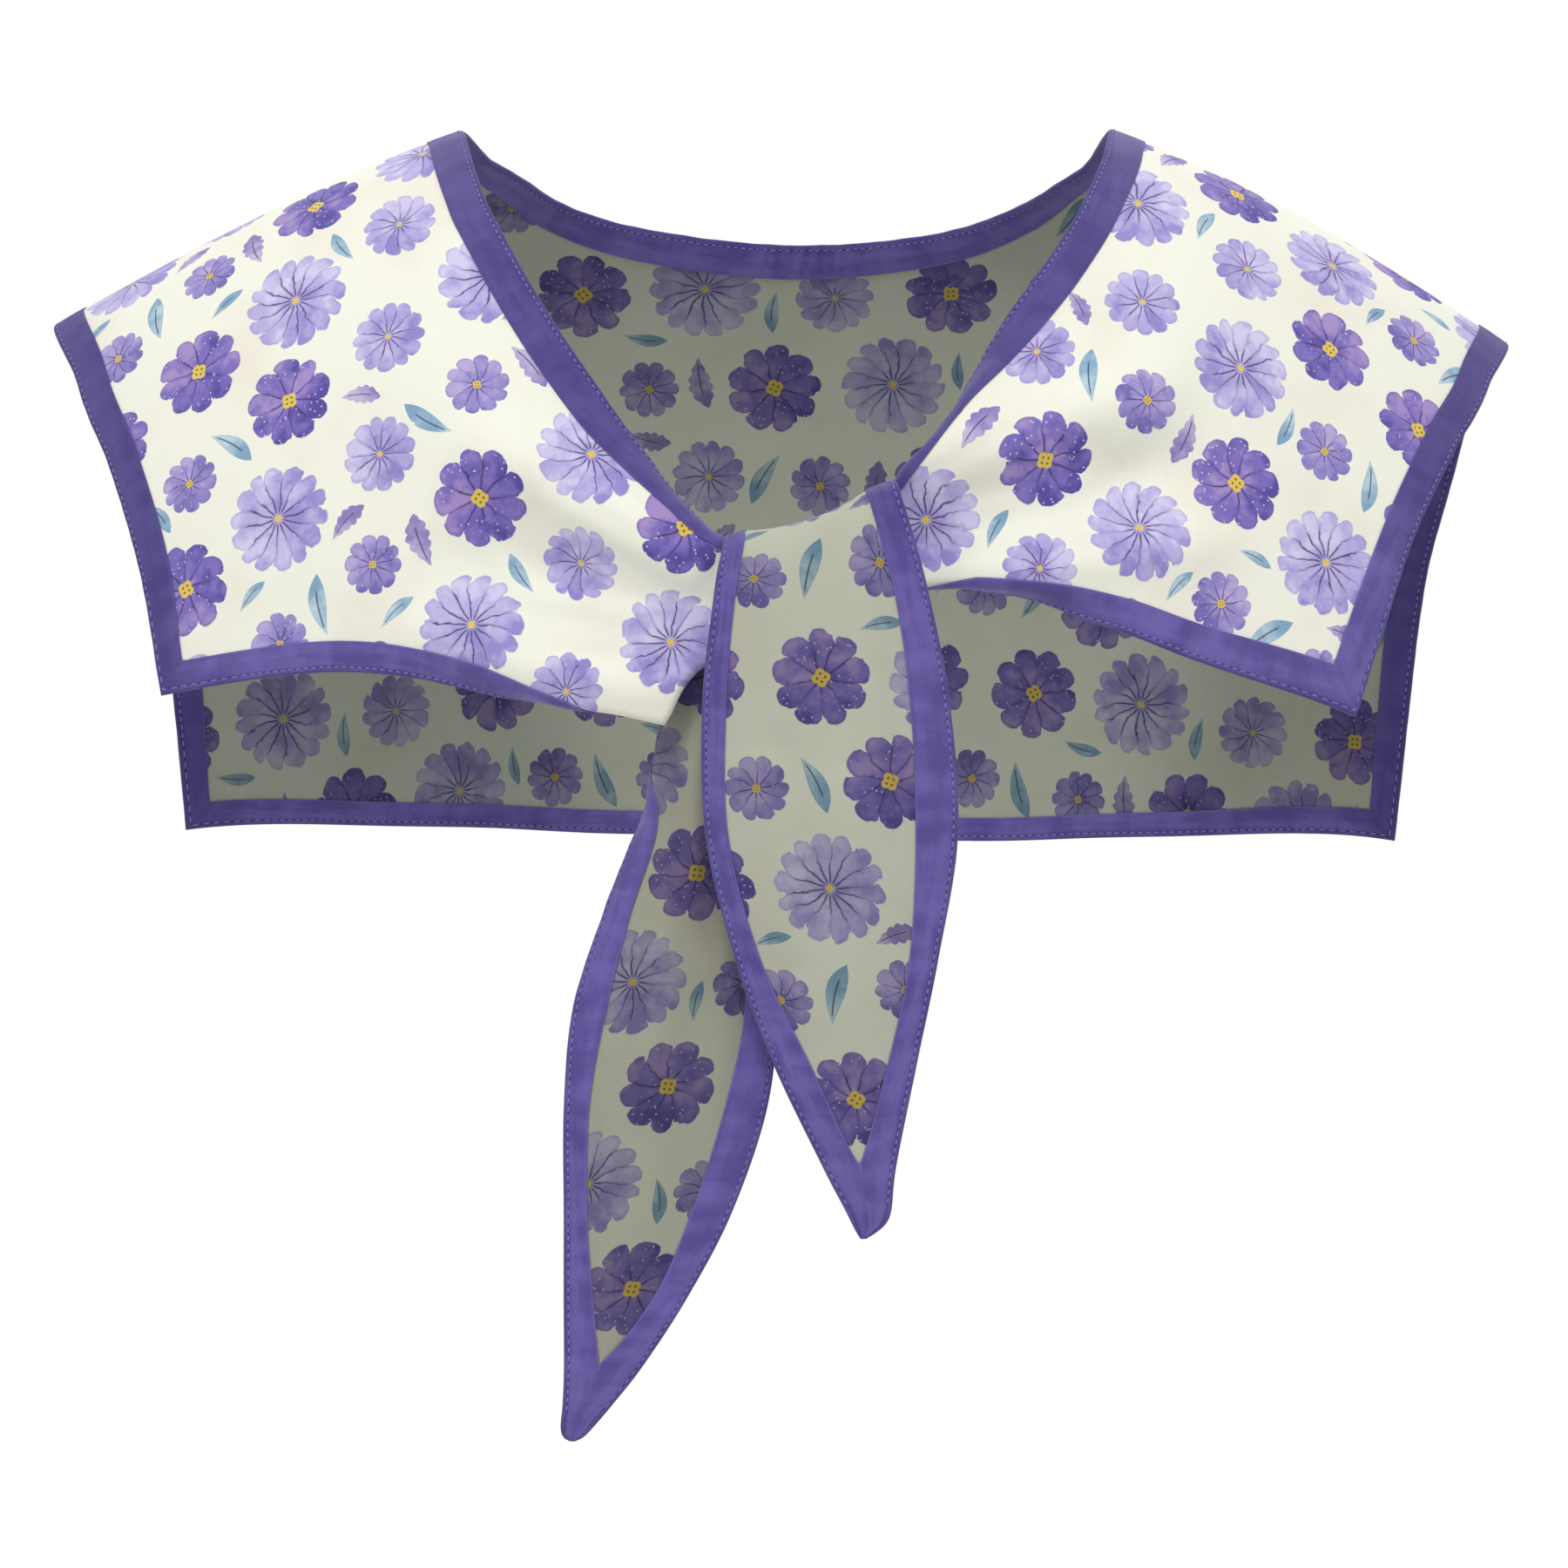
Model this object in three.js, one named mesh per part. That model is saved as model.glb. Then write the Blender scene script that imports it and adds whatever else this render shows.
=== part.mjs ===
// A detachable cape collar of printed cloth, tied in front with one half knot.
// Millimetres, +Z up, the front faces -Y. The origin is midway between the two neck points of the
// shoulder line, where the collar sits on the shoulders beside the neck.
import * as THREE from 'three';

// Driving sizes
const CLOTH_THICKNESS = 1.6; // two layers of printed cotton
const BINDING_THICKNESS = 2.2; // the same, with the folded band over it
const SEAM_GAP = 0.3; // between the printed cloth and the band
const ROLL_LENGTH = 4; // stretch of a band over which a rolled edge turns
const ROLL_STEPS = 3; // facets of that turn
const STEPS_PER_SECTION = 3; // rows of facets between two sections
const STEPS_ACROSS_COLLAR = 6; // facets from the neckline to the hem
const STEPS_ACROSS_TIE = 4;
const TIP_RELIEF = 0.9; // the printed point of a tie stops this far above the corner of its band

// The shoulders that the collar is shaped to. The ridge is the shoulder line seen from the front.
const RIDGE_TOP = 3.6;
const RIDGE_START = 100; // half the width of the level stretch across the neck
const RIDGE_SOFTNESS = 24;
const RIGHT_ARM_SIDE = { slope: 0.42, steepening: 0.0006 }; // at -X
const LEFT_ARM_SIDE = { slope: 0.45, steepening: 0.00095 }; // at +X
const FORM_HALF_WIDTH = 242;
const PLAN_POWER = 2.2; // roundness of the shoulders seen from above
const FRONT = { side: -1, depth: 106, height: 170 };
const BACK = { side: 1, depth: 94, height: 130 };

const COLLAR_COLUMNS = [
  'neckX', 'neckZ', 'hemX', 'hemZ', 'neckBand', 'hemBand', 'neckRoll', 'hemRoll', 'forward',
];
// One row for each section, from the neck seam to the hem seam, in the order in which they go
// round the neck. A roll is how far the band turns under, in degrees. Forward moves the cloth
// off the form near the knot. A null height lies on the ridge.
const RIGHT_FRONT = [
  // neckX, neckZ, hemX, hemZ, neckBand, hemBand, neckRoll, hemRoll, forward
  [4, -145, 4, -163, 6, 9.5, 150, 165, 2],
  [-24, -134.6, -25, -170, 7, 9.5, 82, 165, 2.5],
  [-38, -123.3, -37.7, -189.5, 9, 9.5, 56, 165, 2],
  [-51, -111.5, -53, -185.8, 11, 9.5, 32, 150, 1],
  [-64.2, -97.8, -71, -180.3, 12, 9.5, 12, 78, 0],
  [-79.8, -76.1, -97.2, -169.8, 12, 9.5, 0, 14, 0],
  [-92, -56, -138.2, -163.5, 12, 9.5, 0, 0, 0],
];
const RIGHT_FRONT_CORNER = [-101.5, -38.5, -185.4, -169.2, 12, 9.5, 0, 0, 0];
const RIGHT_ARM_FRONT = [
  [-105.6, -29.5, -190.5, -137, 12, 11.5, 0, 0, 0],
  [-110, -17.5, -201.5, -103.5, 12, 11.5, 0, 0, 0],
  [-112.8, -8.3, -213, -77, 12, 11.5, 0, 0, 0],
  [-114, null, -222, null, 12, 11.5, 0, 0, 0],
];
const RIGHT_ARM_BACK = [
  [-107.5, -9, -204.5, -95, 12, 11.5, 18, 0, 0],
  [-96, -16, -194, -142, 12, 11.5, 14, 0, 0],
];
const BACK_RIGHT_CORNER = [-79, -27, -188.8, -212.5, 12, 8.6, 8, 0, 0];
const BACK_HEM = [
  [-50, -36.3, -98, -213.5, 12, 7.8, 4, 0, 0],
  [0, -42, 0, -215.5, 12, 7.8, 0, 0, 0],
  [50, -37.4, 98, -216.8, 12, 7.8, 8, 0, 0],
];
const BACK_LEFT_CORNER = [79, -27, 188.4, -215, 12, 9.4, 18, 0, 0];
const LEFT_ARM_BACK = [
  [96, -15, 195, -142, 12, 11.5, 32, 0, 0],
  [106.5, -9.5, 205, -97, 12, 11.5, 18, 0, 0],
  [111.2, null, 216.7, null, 12, 11.5, 0, 0, 0],
];
const LEFT_ARM_FRONT = [
  [110, -9.5, 208.5, -77, 12, 11.5, 0, 0, 0],
  [107, -19, 196.5, -97, 12, 11.5, 0, 0, 0],
  [99.5, -35, 181, -128, 12, 11.5, 0, 0, 0],
];
const LEFT_FRONT_CORNER = [90, -50.5, 164.7, -170.4, 12, 9.8, 0, 0, 0];
const LEFT_FRONT = [
  [79.5, -64.5, 126.5, -159.4, 12, 9.8, 12, 0, 0],
  [66.6, -79, 100.7, -150.6, 12, 9.8, 45, 0, 0],
  [54.8, -90.9, 81.4, -146.4, 12, 9.8, 70, 36, 0],
  [43.4, -105.1, 61, -144.7, 10, 9.8, 95, 80, -1.5],
  [35.5, -115, 42, -144.8, 8, 9.8, 105, 120, -3.5],
  [24, -131, 24, -150, 6, 9.8, 150, 150, -6],
];
const SECTIONS_IN_KNOT = 1; // at each end, where the knot hides the edges and they have no band

// Soft folds in the collar, as ridges of cloth along a line seen from the front or the back.
const FOLD_COLUMNS = ['side', 'fromX', 'fromZ', 'toX', 'toZ', 'width', 'height'];
const FOLDS = [
  // side, fromX, fromZ, toX, toZ, width, height
  [-1, -38, -152, -100, -112, 11, 2.6],
  [-1, -42, -168, -118, -146, 10, 2.2],
  [-1, 46, -128, 112, -96, 11, 2.4],
  [-1, 50, -140, 138, -128, 10, 2],
  [1, -52, -120, -70, -212, 17, 2.4],
  [1, 60, -110, 84, -214, 17, 2.6],
  [1, 4, -90, 2, -214, 20, -2.2],
];

const TIE_COLUMNS = [
  'leftX', 'leftZ', 'rightX', 'rightZ', 'depth', 'leftBand', 'rightBand', 'leftRoll',
  'rightRoll', 'bulge',
];
// One row for each section of a tie, from its left seam to its right seam as seen from the
// front. Depth is how far the section stands in front of the shoulder line. Below the point of
// the print both seams meet, and a band's width is counted from there.
const FRONT_TIE = [
  // leftX, leftZ, rightX, rightZ, depth, leftBand, rightBand, leftRoll, rightRoll, bulge
  [4.3, -163, 4.3, -145, 107.8, 6, 6, 0, 0, 0],
  [5, -173, 20, -160, 106, 5, 6, 0, 0, 0],
  [1, -179.5, 19, -178, 98, 5, 6, 0, 0, 0],
  [-4, -166, 20, -162, 89.3, 6, 7, 0, 0, 0],
  [-10, -148, 21, -140, 88.8, 7, 8, 0, 0, 0],
  [-12.5, -134.2, 22, -122.8, 94.5, 7.4, 9, 0, 0, -2],
  [-13.3, -131.2, 22.6, -119.4, 104, 7.6, 9.8, 0, 0, -2.6],
  [-14, -136, 24.5, -125.5, 112.5, 7.2, 9.8, 0, 0, 0],
  [-16.5, -150, 31, -150, 115.5, 6.6, 10.4, 0, 0, 3],
  [-19.3, -183, 35.7, -183, 115, 7.3, 12, 0, 0, 5],
  [-18.7, -222, 37.3, -222, 113.5, 7, 12.8, 0, 0, 5],
  [-9.1, -259, 35.5, -259, 112, 7.8, 8.8, 0, 0, 4],
  [5.5, -290, 29.2, -290, 110, 11.2, 8.8, 0, 0, 2],
  [20.6, -321, 20.6, -321, 108, 11.5, 11.2, 0, 0, 0],
  [22.7, -334.5, 22.7, -334.5, 107, 6.8, 7.3, 0, 0, 0],
  [23.2, -342.8, 23.2, -342.8, 106.5, 1.2, 2, 0, 0, 0],
];
const FRONT_TIE_POINT_ROW = 13;
const BACK_TIE = [
  [23.7, -131, 23.7, -150, 98, 5, 5, 0, 0, 0],
  [2, -137, 8, -157, 98, 5, 5, 0, 0, 0],
  [-19, -148, -7, -166, 98, 6, 5, 40, 0, 0],
  [-32, -165, -16, -176, 97.5, 8, 6, 150, 0, 0],
  [-37.8, -189, -20, -190, 96.5, 10, 7, 160, 0, 0],
  [-40, -206, -20, -206, 96, 11, 8, 145, 0, 1],
  [-40.8, -223, -18, -223, 96, 11, 9, 76, 0, 2],
  [-48.3, -246.4, -15, -246.4, 96, 10, 9.5, 36, 0, 3],
  [-55.5, -274.5, -13.9, -274.5, 96, 10.6, 10, 12, 0, 4],
  [-60.7, -304.7, -20, -304.7, 96.5, 7.9, 12.9, 0, 0, 4.5],
  [-61.3, -336.5, -30.2, -336.5, 97, 7.3, 12.3, 0, 0, 3.5],
  [-59.6, -362, -41.7, -362, 97.5, 9, 10.4, 0, 0, 1.5],
  [-57.7, -382, -57.7, -382, 98, 10.8, 13.4, 0, 0, 0],
  [-61.9, -393.5, -61.9, -393.5, 98, 6.7, 8.9, 0, 0, 0],
  [-65, -403.8, -65, -403.8, 98, 2, 2.6, 0, 0, 0],
];
const BACK_TIE_POINT_ROW = 12;

const QUARTER_TURN = Math.PI / 2;
const radians = THREE.MathUtils.degToRad;

function named(columns, row) {
  return Object.fromEntries(columns.map((column, i) => [column, row[i]]));
}

// Catmull-Rom through four values that are evenly spaced
function smooth(before, from, to, after, t) {
  const a = 2 * from;
  const b = to - before;
  const c = 2 * before - 5 * from + 4 * to - after;
  const d = 3 * (from - to) + after - before;
  return 0.5 * (a + b * t + c * t * t + d * t * t * t);
}

// The shoulder form

function ridgeHeight(x) {
  const { slope, steepening } = x < 0 ? RIGHT_ARM_SIDE : LEFT_ARM_SIDE;
  const past = Math.abs(x) - RIDGE_START;
  const run = (past + Math.hypot(past, RIDGE_SOFTNESS)) / 2;
  return RIDGE_TOP - slope * run - steepening * run * run;
}

function fullDepth(x, half) {
  const share = Math.min(Math.abs(x) / FORM_HALF_WIDTH, 0.999);
  return half.depth * (1 - share ** PLAN_POWER) ** (1 / PLAN_POWER);
}

// How far round the shoulder a height lies: 0 on the ridge, 1 where the form turns upright
function turnAt(x, z, half) {
  const drop = z === null ? 0 : Math.max(ridgeHeight(x) - z, 0);
  if (drop < half.height) return Math.acos(1 - drop / half.height) / QUARTER_TURN;
  return 1 + (drop - half.height) / (half.height * QUARTER_TURN);
}

function onForm(x, turn, half) {
  const angle = Math.min(turn, 1) * QUARTER_TURN;
  const below = Math.max(turn - 1, 0) * half.height * QUARTER_TURN;
  const drop = half.height * (1 - Math.cos(angle)) + below;
  const y = half.side * fullDepth(x, half) * Math.sin(angle);
  return new THREE.Vector3(x, y, ridgeHeight(x) - drop);
}

function foldHeight(x, z, side) {
  let height = 0;
  for (const row of FOLDS) {
    const fold = named(FOLD_COLUMNS, row);
    if (fold.side !== side) continue;
    const along = new THREE.Vector2(fold.toX - fold.fromX, fold.toZ - fold.fromZ);
    const at = new THREE.Vector2(x - fold.fromX, z - fold.fromZ);
    const length = along.length();
    const share = at.dot(along) / length ** 2;
    const off = Math.abs(at.cross(along)) / length;
    const ends = Math.max(0, 1 - (2 * share - 1) ** 4);
    height += share > 0 && share < 1 ? fold.height * ends * Math.exp(-((off / fold.width) ** 2)) : 0;
  }
  return height;
}

// Thin solids

// Gives a thickness to a surface whose grids of { point, normal } may share edges.
function sheetSolid(grids, thickness) {
  const points = [];
  const normals = [];
  const known = new Map();
  function indexOf({ point, normal }) {
    const key = point.toArray().map((value) => value.toFixed(3)).join();
    if (!known.has(key)) {
      known.set(key, points.length);
      points.push(point);
      normals.push(new THREE.Vector3());
    }
    const index = known.get(key);
    normals[index].add(normal);
    return index;
  }
  const faces = [];
  for (const grid of grids) {
    const index = grid.map((row) => row.map(indexOf));
    for (let i = 1; i < grid.length; i += 1) {
      for (let j = 1; j < grid[i].length; j += 1) {
        const [a, b, c, d] = [index[i - 1][j - 1], index[i][j - 1], index[i][j], index[i - 1][j]];
        const shorter = points[a].distanceTo(points[c]) < points[b].distanceTo(points[d]);
        faces.push(...(shorter ? [[a, b, c], [a, c, d]] : [[a, b, d], [b, c, d]]));
      }
    }
  }
  const whole = faces.filter(([a, b, c]) => a !== b && b !== c && c !== a);

  const count = points.length;
  const positions = [];
  for (const side of [0.5, -0.5]) {
    points.forEach((point, i) => {
      const out = normals[i].clone().normalize();
      positions.push(...point.clone().addScaledVector(out, side * thickness).toArray());
    });
  }
  const uses = new Map();
  for (const face of whole) {
    face.forEach((from, k) => {
      const to = face[(k + 1) % 3];
      const key = `${Math.min(from, to)},${Math.max(from, to)}`;
      uses.set(key, uses.has(key) ? null : [from, to]);
    });
  }
  const triangles = [];
  for (const [a, b, c] of whole) triangles.push(a, b, c, a + count, c + count, b + count);
  for (const edge of uses.values()) {
    if (!edge) continue;
    const [from, to] = edge;
    triangles.push(from, from + count, to + count, from, to + count, to);
  }
  const geometry = new THREE.BufferGeometry();
  geometry.setAttribute('position', new THREE.Float32BufferAttribute(positions, 3));
  geometry.setIndex(triangles);
  geometry.computeVertexNormals();
  return geometry;
}

// Normals of a grid of points, pointing away from the wearer
function gridNormals(points) {
  const last = points.length - 1;
  return points.map((row, i) => row.map((_, j) => {
    const along = points[Math.min(i + 1, last)][j].clone().sub(points[Math.max(i - 1, 0)][j]);
    const end = row.length - 1;
    const across = row[Math.min(j + 1, end)].clone().sub(row[Math.max(j - 1, 0)]);
    return along.cross(across).normalize();
  }));
}

// The points of a band from its seam outwards, turning under by its roll
function bandRow(seam, normal, outward, stretch, width, roll) {
  const turned = Math.min(ROLL_LENGTH, width * 0.75);
  const row = [{ point: seam.clone(), normal: normal.clone() }];
  let out = 0;
  let under = 0;
  for (let step = 1; step <= ROLL_STEPS + 1; step += 1) {
    const rolling = step <= ROLL_STEPS;
    const length = rolling ? turned / ROLL_STEPS : width - turned;
    const angle = rolling ? roll * ((step - 0.5) / ROLL_STEPS) : roll;
    out += length * Math.cos(angle);
    under += length * Math.sin(angle);
    const tilt = rolling ? roll * (step / ROLL_STEPS) : roll;
    row.push({
      point: seam.clone().addScaledVector(outward, out * stretch).addScaledVector(normal, -under),
      normal: normal.clone().multiplyScalar(Math.cos(tilt)).addScaledVector(outward, Math.sin(tilt)),
    });
  }
  return row;
}

// The collar

const sections = [];
function addSections(rows, half, corner = false) {
  for (const row of rows) sections.push({ ...named(COLLAR_COLUMNS, row), half, corner });
}
addSections(RIGHT_FRONT, FRONT);
addSections([RIGHT_FRONT_CORNER], FRONT, true);
addSections(RIGHT_ARM_FRONT, FRONT);
addSections(RIGHT_ARM_BACK, BACK);
addSections([BACK_RIGHT_CORNER], BACK, true);
addSections(BACK_HEM, BACK);
addSections([BACK_LEFT_CORNER], BACK, true);
addSections(LEFT_ARM_BACK, BACK);
addSections(LEFT_ARM_FRONT, FRONT);
addSections([LEFT_FRONT_CORNER], FRONT, true);
addSections(LEFT_FRONT, FRONT);
for (const section of sections) {
  const { side } = section.half;
  section.neckTurn = side * turnAt(section.neckX, section.neckZ, section.half);
  section.hemTurn = side * turnAt(section.hemX, section.hemZ, section.half);
}

// A value of the sections at a place between two of them. Hem values don't bend past a corner.
function sectionValue(key, from, t) {
  const at = (i) => sections[THREE.MathUtils.clamp(i, 0, sections.length - 1)];
  const [a, b, c, d] = [at(from - 1), at(from), at(from + 1), at(from + 2)];
  const sharp = key.startsWith('hem');
  const before = sharp && b.corner ? 2 * b[key] - c[key] : a[key];
  const after = sharp && c.corner ? 2 * c[key] - b[key] : d[key];
  return smooth(before, b[key], c[key], after, t);
}

const stations = [];
for (let from = 0; from < sections.length - 1; from += 1) {
  for (let step = 0; step < STEPS_PER_SECTION; step += 1) {
    stations.push({ from, t: step / STEPS_PER_SECTION });
  }
}
stations.push({ from: sections.length - 2, t: 1 });

function collarPoint({ from, t }, share) {
  const value = (key) => sectionValue(key, from, t);
  const mix = (neck, hem) => value(neck) * (1 - share) + value(hem) * share;
  const turn = mix('neckTurn', 'hemTurn');
  const half = turn < 0 ? FRONT : BACK;
  const point = onForm(mix('neckX', 'hemX'), Math.abs(turn), half);
  const lift = foldHeight(point.x, point.z, half.side);
  point.y -= value('forward') - half.side * lift;
  return point;
}

const shares = Array.from({ length: STEPS_ACROSS_COLLAR + 1 }, (_, j) => j / STEPS_ACROSS_COLLAR);
const collarPoints = stations.map((station) => shares.map((share) => collarPoint(station, share)));
const collarNormals = gridNormals(collarPoints);

// The direction from a seam out over its band, and how far a mitred corner stretches it
function outwardAt(i, column, sign) {
  const last = stations.length - 1;
  const here = collarPoints[i][column];
  const normal = collarNormals[i][column];
  const before = here.clone().sub(collarPoints[Math.max(i - 1, 0)][column]);
  const after = collarPoints[Math.min(i + 1, last)][column].clone().sub(here);
  const sides = [before, after].filter((step) => step.length() > 0);
  const outs = sides.map((step) => step.cross(normal).multiplyScalar(-sign).normalize());
  const sum = outs.reduce((total, out) => total.add(out.clone()), new THREE.Vector3()).normalize();
  return { outward: sum, stretch: 1 / sum.dot(outs[0]) };
}

function collarBand(column, sign, edge) {
  const inKnot = SECTIONS_IN_KNOT * STEPS_PER_SECTION;
  const grid = [];
  for (let i = inKnot; i < stations.length - inKnot; i += 1) {
    const { from, t } = stations[i];
    const normal = collarNormals[i][column];
    const { outward, stretch } = outwardAt(i, column, sign);
    const seam = collarPoints[i][column].clone().addScaledVector(outward, (SEAM_GAP / 2) * stretch);
    const width = sectionValue(`${edge}Band`, from, t);
    const roll = radians(THREE.MathUtils.clamp(sectionValue(`${edge}Roll`, from, t), 0, 170));
    const row = bandRow(seam, normal, outward, stretch, width, roll);
    grid.push(sign > 0 ? row : row.reverse());
  }
  return grid;
}

function collarClothGrid() {
  const last = shares.length - 1;
  return stations.map((_, i) => shares.map((_, j) => {
    const point = collarPoints[i][j].clone();
    if (j === 0 || j === last) {
      const { outward, stretch } = outwardAt(i, j, j === 0 ? -1 : 1);
      point.addScaledVector(outward, (-SEAM_GAP / 2) * stretch);
    }
    return { point, normal: collarNormals[i][j] };
  }));
}

// The ties

// The rows of a tie with the steps between them. Its outer edges run on smoothly past the point
// of the print, where its seams break off.
function tieRows(table, pointRow) {
  const rows = table.map((row) => {
    const values = named(TIE_COLUMNS, row);
    values.leftEdge = values.leftX - values.leftBand;
    values.rightEdge = values.rightX + values.rightBand;
    return values;
  });
  const at = (i) => rows[THREE.MathUtils.clamp(i, 0, rows.length - 1)];
  const made = [];
  for (let from = 0; from < rows.length - 1; from += 1) {
    const steps = from === rows.length - 2 ? STEPS_PER_SECTION + 1 : STEPS_PER_SECTION;
    for (let step = 0; step < steps; step += 1) {
      const row = {};
      for (const key of Object.keys(rows[0])) {
        const four = [at(from - 1), at(from), at(from + 1), at(from + 2)].map((each) => each[key]);
        const seam = key === 'leftX' || key === 'rightX';
        if (seam && from === pointRow) four[0] = 2 * four[1] - four[2];
        if (seam && from + 1 === pointRow) four[3] = 2 * four[2] - four[1];
        row[key] = smooth(...four, step / STEPS_PER_SECTION);
      }
      row.leftBand = row.leftX - row.leftEdge;
      row.rightBand = row.rightEdge - row.rightX;
      made.push(row);
    }
  }
  return made;
}

function tie(table, pointRow) {
  const rows = tieRows(table, pointRow);
  const point = pointRow * STEPS_PER_SECTION;
  for (const row of rows.slice(point)) {
    row.leftX = (row.leftX + row.rightX) / 2;
    row.rightX = row.leftX;
  }
  const lefts = rows.map((row) => new THREE.Vector3(row.leftX, -row.depth, row.leftZ));
  const rights = rows.map((row) => new THREE.Vector3(row.rightX, -row.depth, row.rightZ));
  const crossing = rows.map((_, i) => {
    const apart = rights[i].clone().sub(lefts[i]);
    return apart.length() > 1 && i < point ? apart.normalize() : new THREE.Vector3(1, 0, 0);
  });
  const middles = rows.map((_, i) => lefts[i].clone().add(rights[i]).multiplyScalar(0.5));
  const flat = rows.map((_, i) => {
    const along = middles[Math.min(i + 1, rows.length - 1)].clone().sub(middles[Math.max(i - 1, 0)]);
    return along.cross(crossing[i]).normalize();
  });

  const across = Array.from({ length: STEPS_ACROSS_TIE + 1 }, (_, j) => j / STEPS_ACROSS_TIE);
  const surface = rows.map((row, i) => across.map((share) => {
    const rise = row.bulge * (1 - (2 * share - 1) ** 2);
    return lefts[i].clone().lerp(rights[i], share).addScaledVector(flat[i], rise);
  }));
  const cloth = surface.slice(0, point + 1).map((row, i) => row.map((spot, j) => {
    const inset = j === 0 ? 1 : j === across.length - 1 ? -1 : 0;
    const moved = spot.clone().addScaledVector(crossing[i], (inset * SEAM_GAP) / 2);
    if (i === point) moved.copy(middles[i]).z += TIP_RELIEF;
    return { point: moved, normal: flat[i] };
  }));
  const bands = [-1, 1].map((sign) => rows.map((row, i) => {
    const outward = crossing[i].clone().multiplyScalar(sign);
    const seam = (sign < 0 ? lefts : rights)[i].clone();
    if (i < point) seam.addScaledVector(outward, SEAM_GAP / 2);
    const width = sign < 0 ? row.leftBand : row.rightBand;
    const roll = radians(THREE.MathUtils.clamp(sign < 0 ? row.leftRoll : row.rightRoll, 0, 170));
    const made = bandRow(seam, flat[i], outward, 1, width, roll);
    return sign > 0 ? made : made.reverse();
  }));
  return { cloth: [cloth], bands };
}

// The model

const PRINTED_CLOTH = { color: 0xe9e6d6, roughness: 0.85, metalness: 0 };
const VIOLET_BAND = { color: 0x54469a, roughness: 0.75, metalness: 0 };
const collar = new THREE.Group();

function addPiece(name, grids, thickness, finish) {
  const mesh = new THREE.Mesh(sheetSolid(grids, thickness), new THREE.MeshStandardMaterial(finish));
  mesh.name = name;
  collar.add(mesh);
}

const lastColumn = shares.length - 1;
addPiece('collar_cloth', [collarClothGrid()], CLOTH_THICKNESS, PRINTED_CLOTH);
addPiece('neck_binding', [collarBand(0, -1, 'neck')], BINDING_THICKNESS, VIOLET_BAND);
addPiece('hem_binding', [collarBand(lastColumn, 1, 'hem')], BINDING_THICKNESS, VIOLET_BAND);
for (const [name, table, pointRow] of [
  ['front_tie', FRONT_TIE, FRONT_TIE_POINT_ROW],
  ['back_tie', BACK_TIE, BACK_TIE_POINT_ROW],
]) {
  const { cloth, bands } = tie(table, pointRow);
  addPiece(`${name}_cloth`, cloth, CLOTH_THICKNESS, PRINTED_CLOTH);
  addPiece(`${name}_binding`, bands, BINDING_THICKNESS, VIOLET_BAND);
}

export default collar;
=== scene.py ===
# %% [markdown]
# # A detachable cape collar with long ends tied in front
#
# The real thing is two layers of printed cotton, cut like a small cape with a neckline, and bound
# on every edge with a folded violet tape. It is worn closed: the two front ends cross, one of them
# wraps once round the other, and both hang down as pointed ties.
#
# Cloth could be dropped on a body by a simulation, but then its outline would be the simulation's.
# Here the shape is drawn instead: a few sections from the neckline to the hem, laid on a form of
# two shoulders. The same sections made the plain solids that this scene is fitted over.

# %% Load the solids
from math import pi, radians, tau

import bpy
import numpy as np
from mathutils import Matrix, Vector


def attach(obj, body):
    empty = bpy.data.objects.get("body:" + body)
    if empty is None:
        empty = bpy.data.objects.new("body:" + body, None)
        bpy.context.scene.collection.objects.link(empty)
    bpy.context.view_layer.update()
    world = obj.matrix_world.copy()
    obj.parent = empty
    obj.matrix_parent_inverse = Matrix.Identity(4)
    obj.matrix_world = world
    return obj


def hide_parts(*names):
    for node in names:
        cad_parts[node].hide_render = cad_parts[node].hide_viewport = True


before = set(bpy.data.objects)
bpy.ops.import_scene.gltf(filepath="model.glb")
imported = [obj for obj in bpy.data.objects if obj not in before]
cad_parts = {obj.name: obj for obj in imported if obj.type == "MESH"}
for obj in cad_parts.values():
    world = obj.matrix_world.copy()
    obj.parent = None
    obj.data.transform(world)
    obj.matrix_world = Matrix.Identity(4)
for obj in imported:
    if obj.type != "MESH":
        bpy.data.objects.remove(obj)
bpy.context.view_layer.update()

MM = 0.001
print("solids:", sorted(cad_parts))

# %% [markdown]
# ## The camera
#
# The picture is taken straight from the front with a long lens, level with the middle of the
# collar. A long lens far away keeps the shoulders and the tie tips in nearly the same scale.

# %% Camera
EYE = (-0.00206, -2.2, -0.2068)
LENS, SENSOR = 160, 36
camera = bpy.data.objects.new("view", bpy.data.cameras.new("view"))
bpy.context.scene.collection.objects.link(camera)
camera.location = EYE
camera.rotation_euler = (radians(90), 0, 0)
camera.data.lens = LENS
camera.data.sensor_width = SENSOR
bpy.context.scene.camera = camera
print("the frame is", round(-EYE[1] * SENSOR / LENS, 3), "m wide at the shoulder line")

# %% [markdown]
# ## The form of the shoulders
#
# Seen from the front, a shoulder line is level beside the neck and then falls towards the arm.
# Seen from the side, the cloth lies over it in a quarter ellipse to the front and another one to
# the back, and hangs straight below that. So a place on the form needs two numbers: x, and a
# turn, which is 0 on the shoulder line, -1 where the front hangs upright and 1 at the back.

# %% Shoulder form
RIDGE_TOP = 3.6
RIDGE_START = 100
RIDGE_SOFTNESS = 24
RIDGE_SLOPE = (0.42, 0.45)             # at the left and the right of the picture
RIDGE_STEEPENING = (0.0006, 0.00095)
FORM_HALF_WIDTH = 242
WIDEST_SHARE = 0.999
PLAN_POWER = 2.2
FRONT_DEPTH, FRONT_HEIGHT = 106, 170
BACK_DEPTH, BACK_HEIGHT = 94, 130


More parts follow.
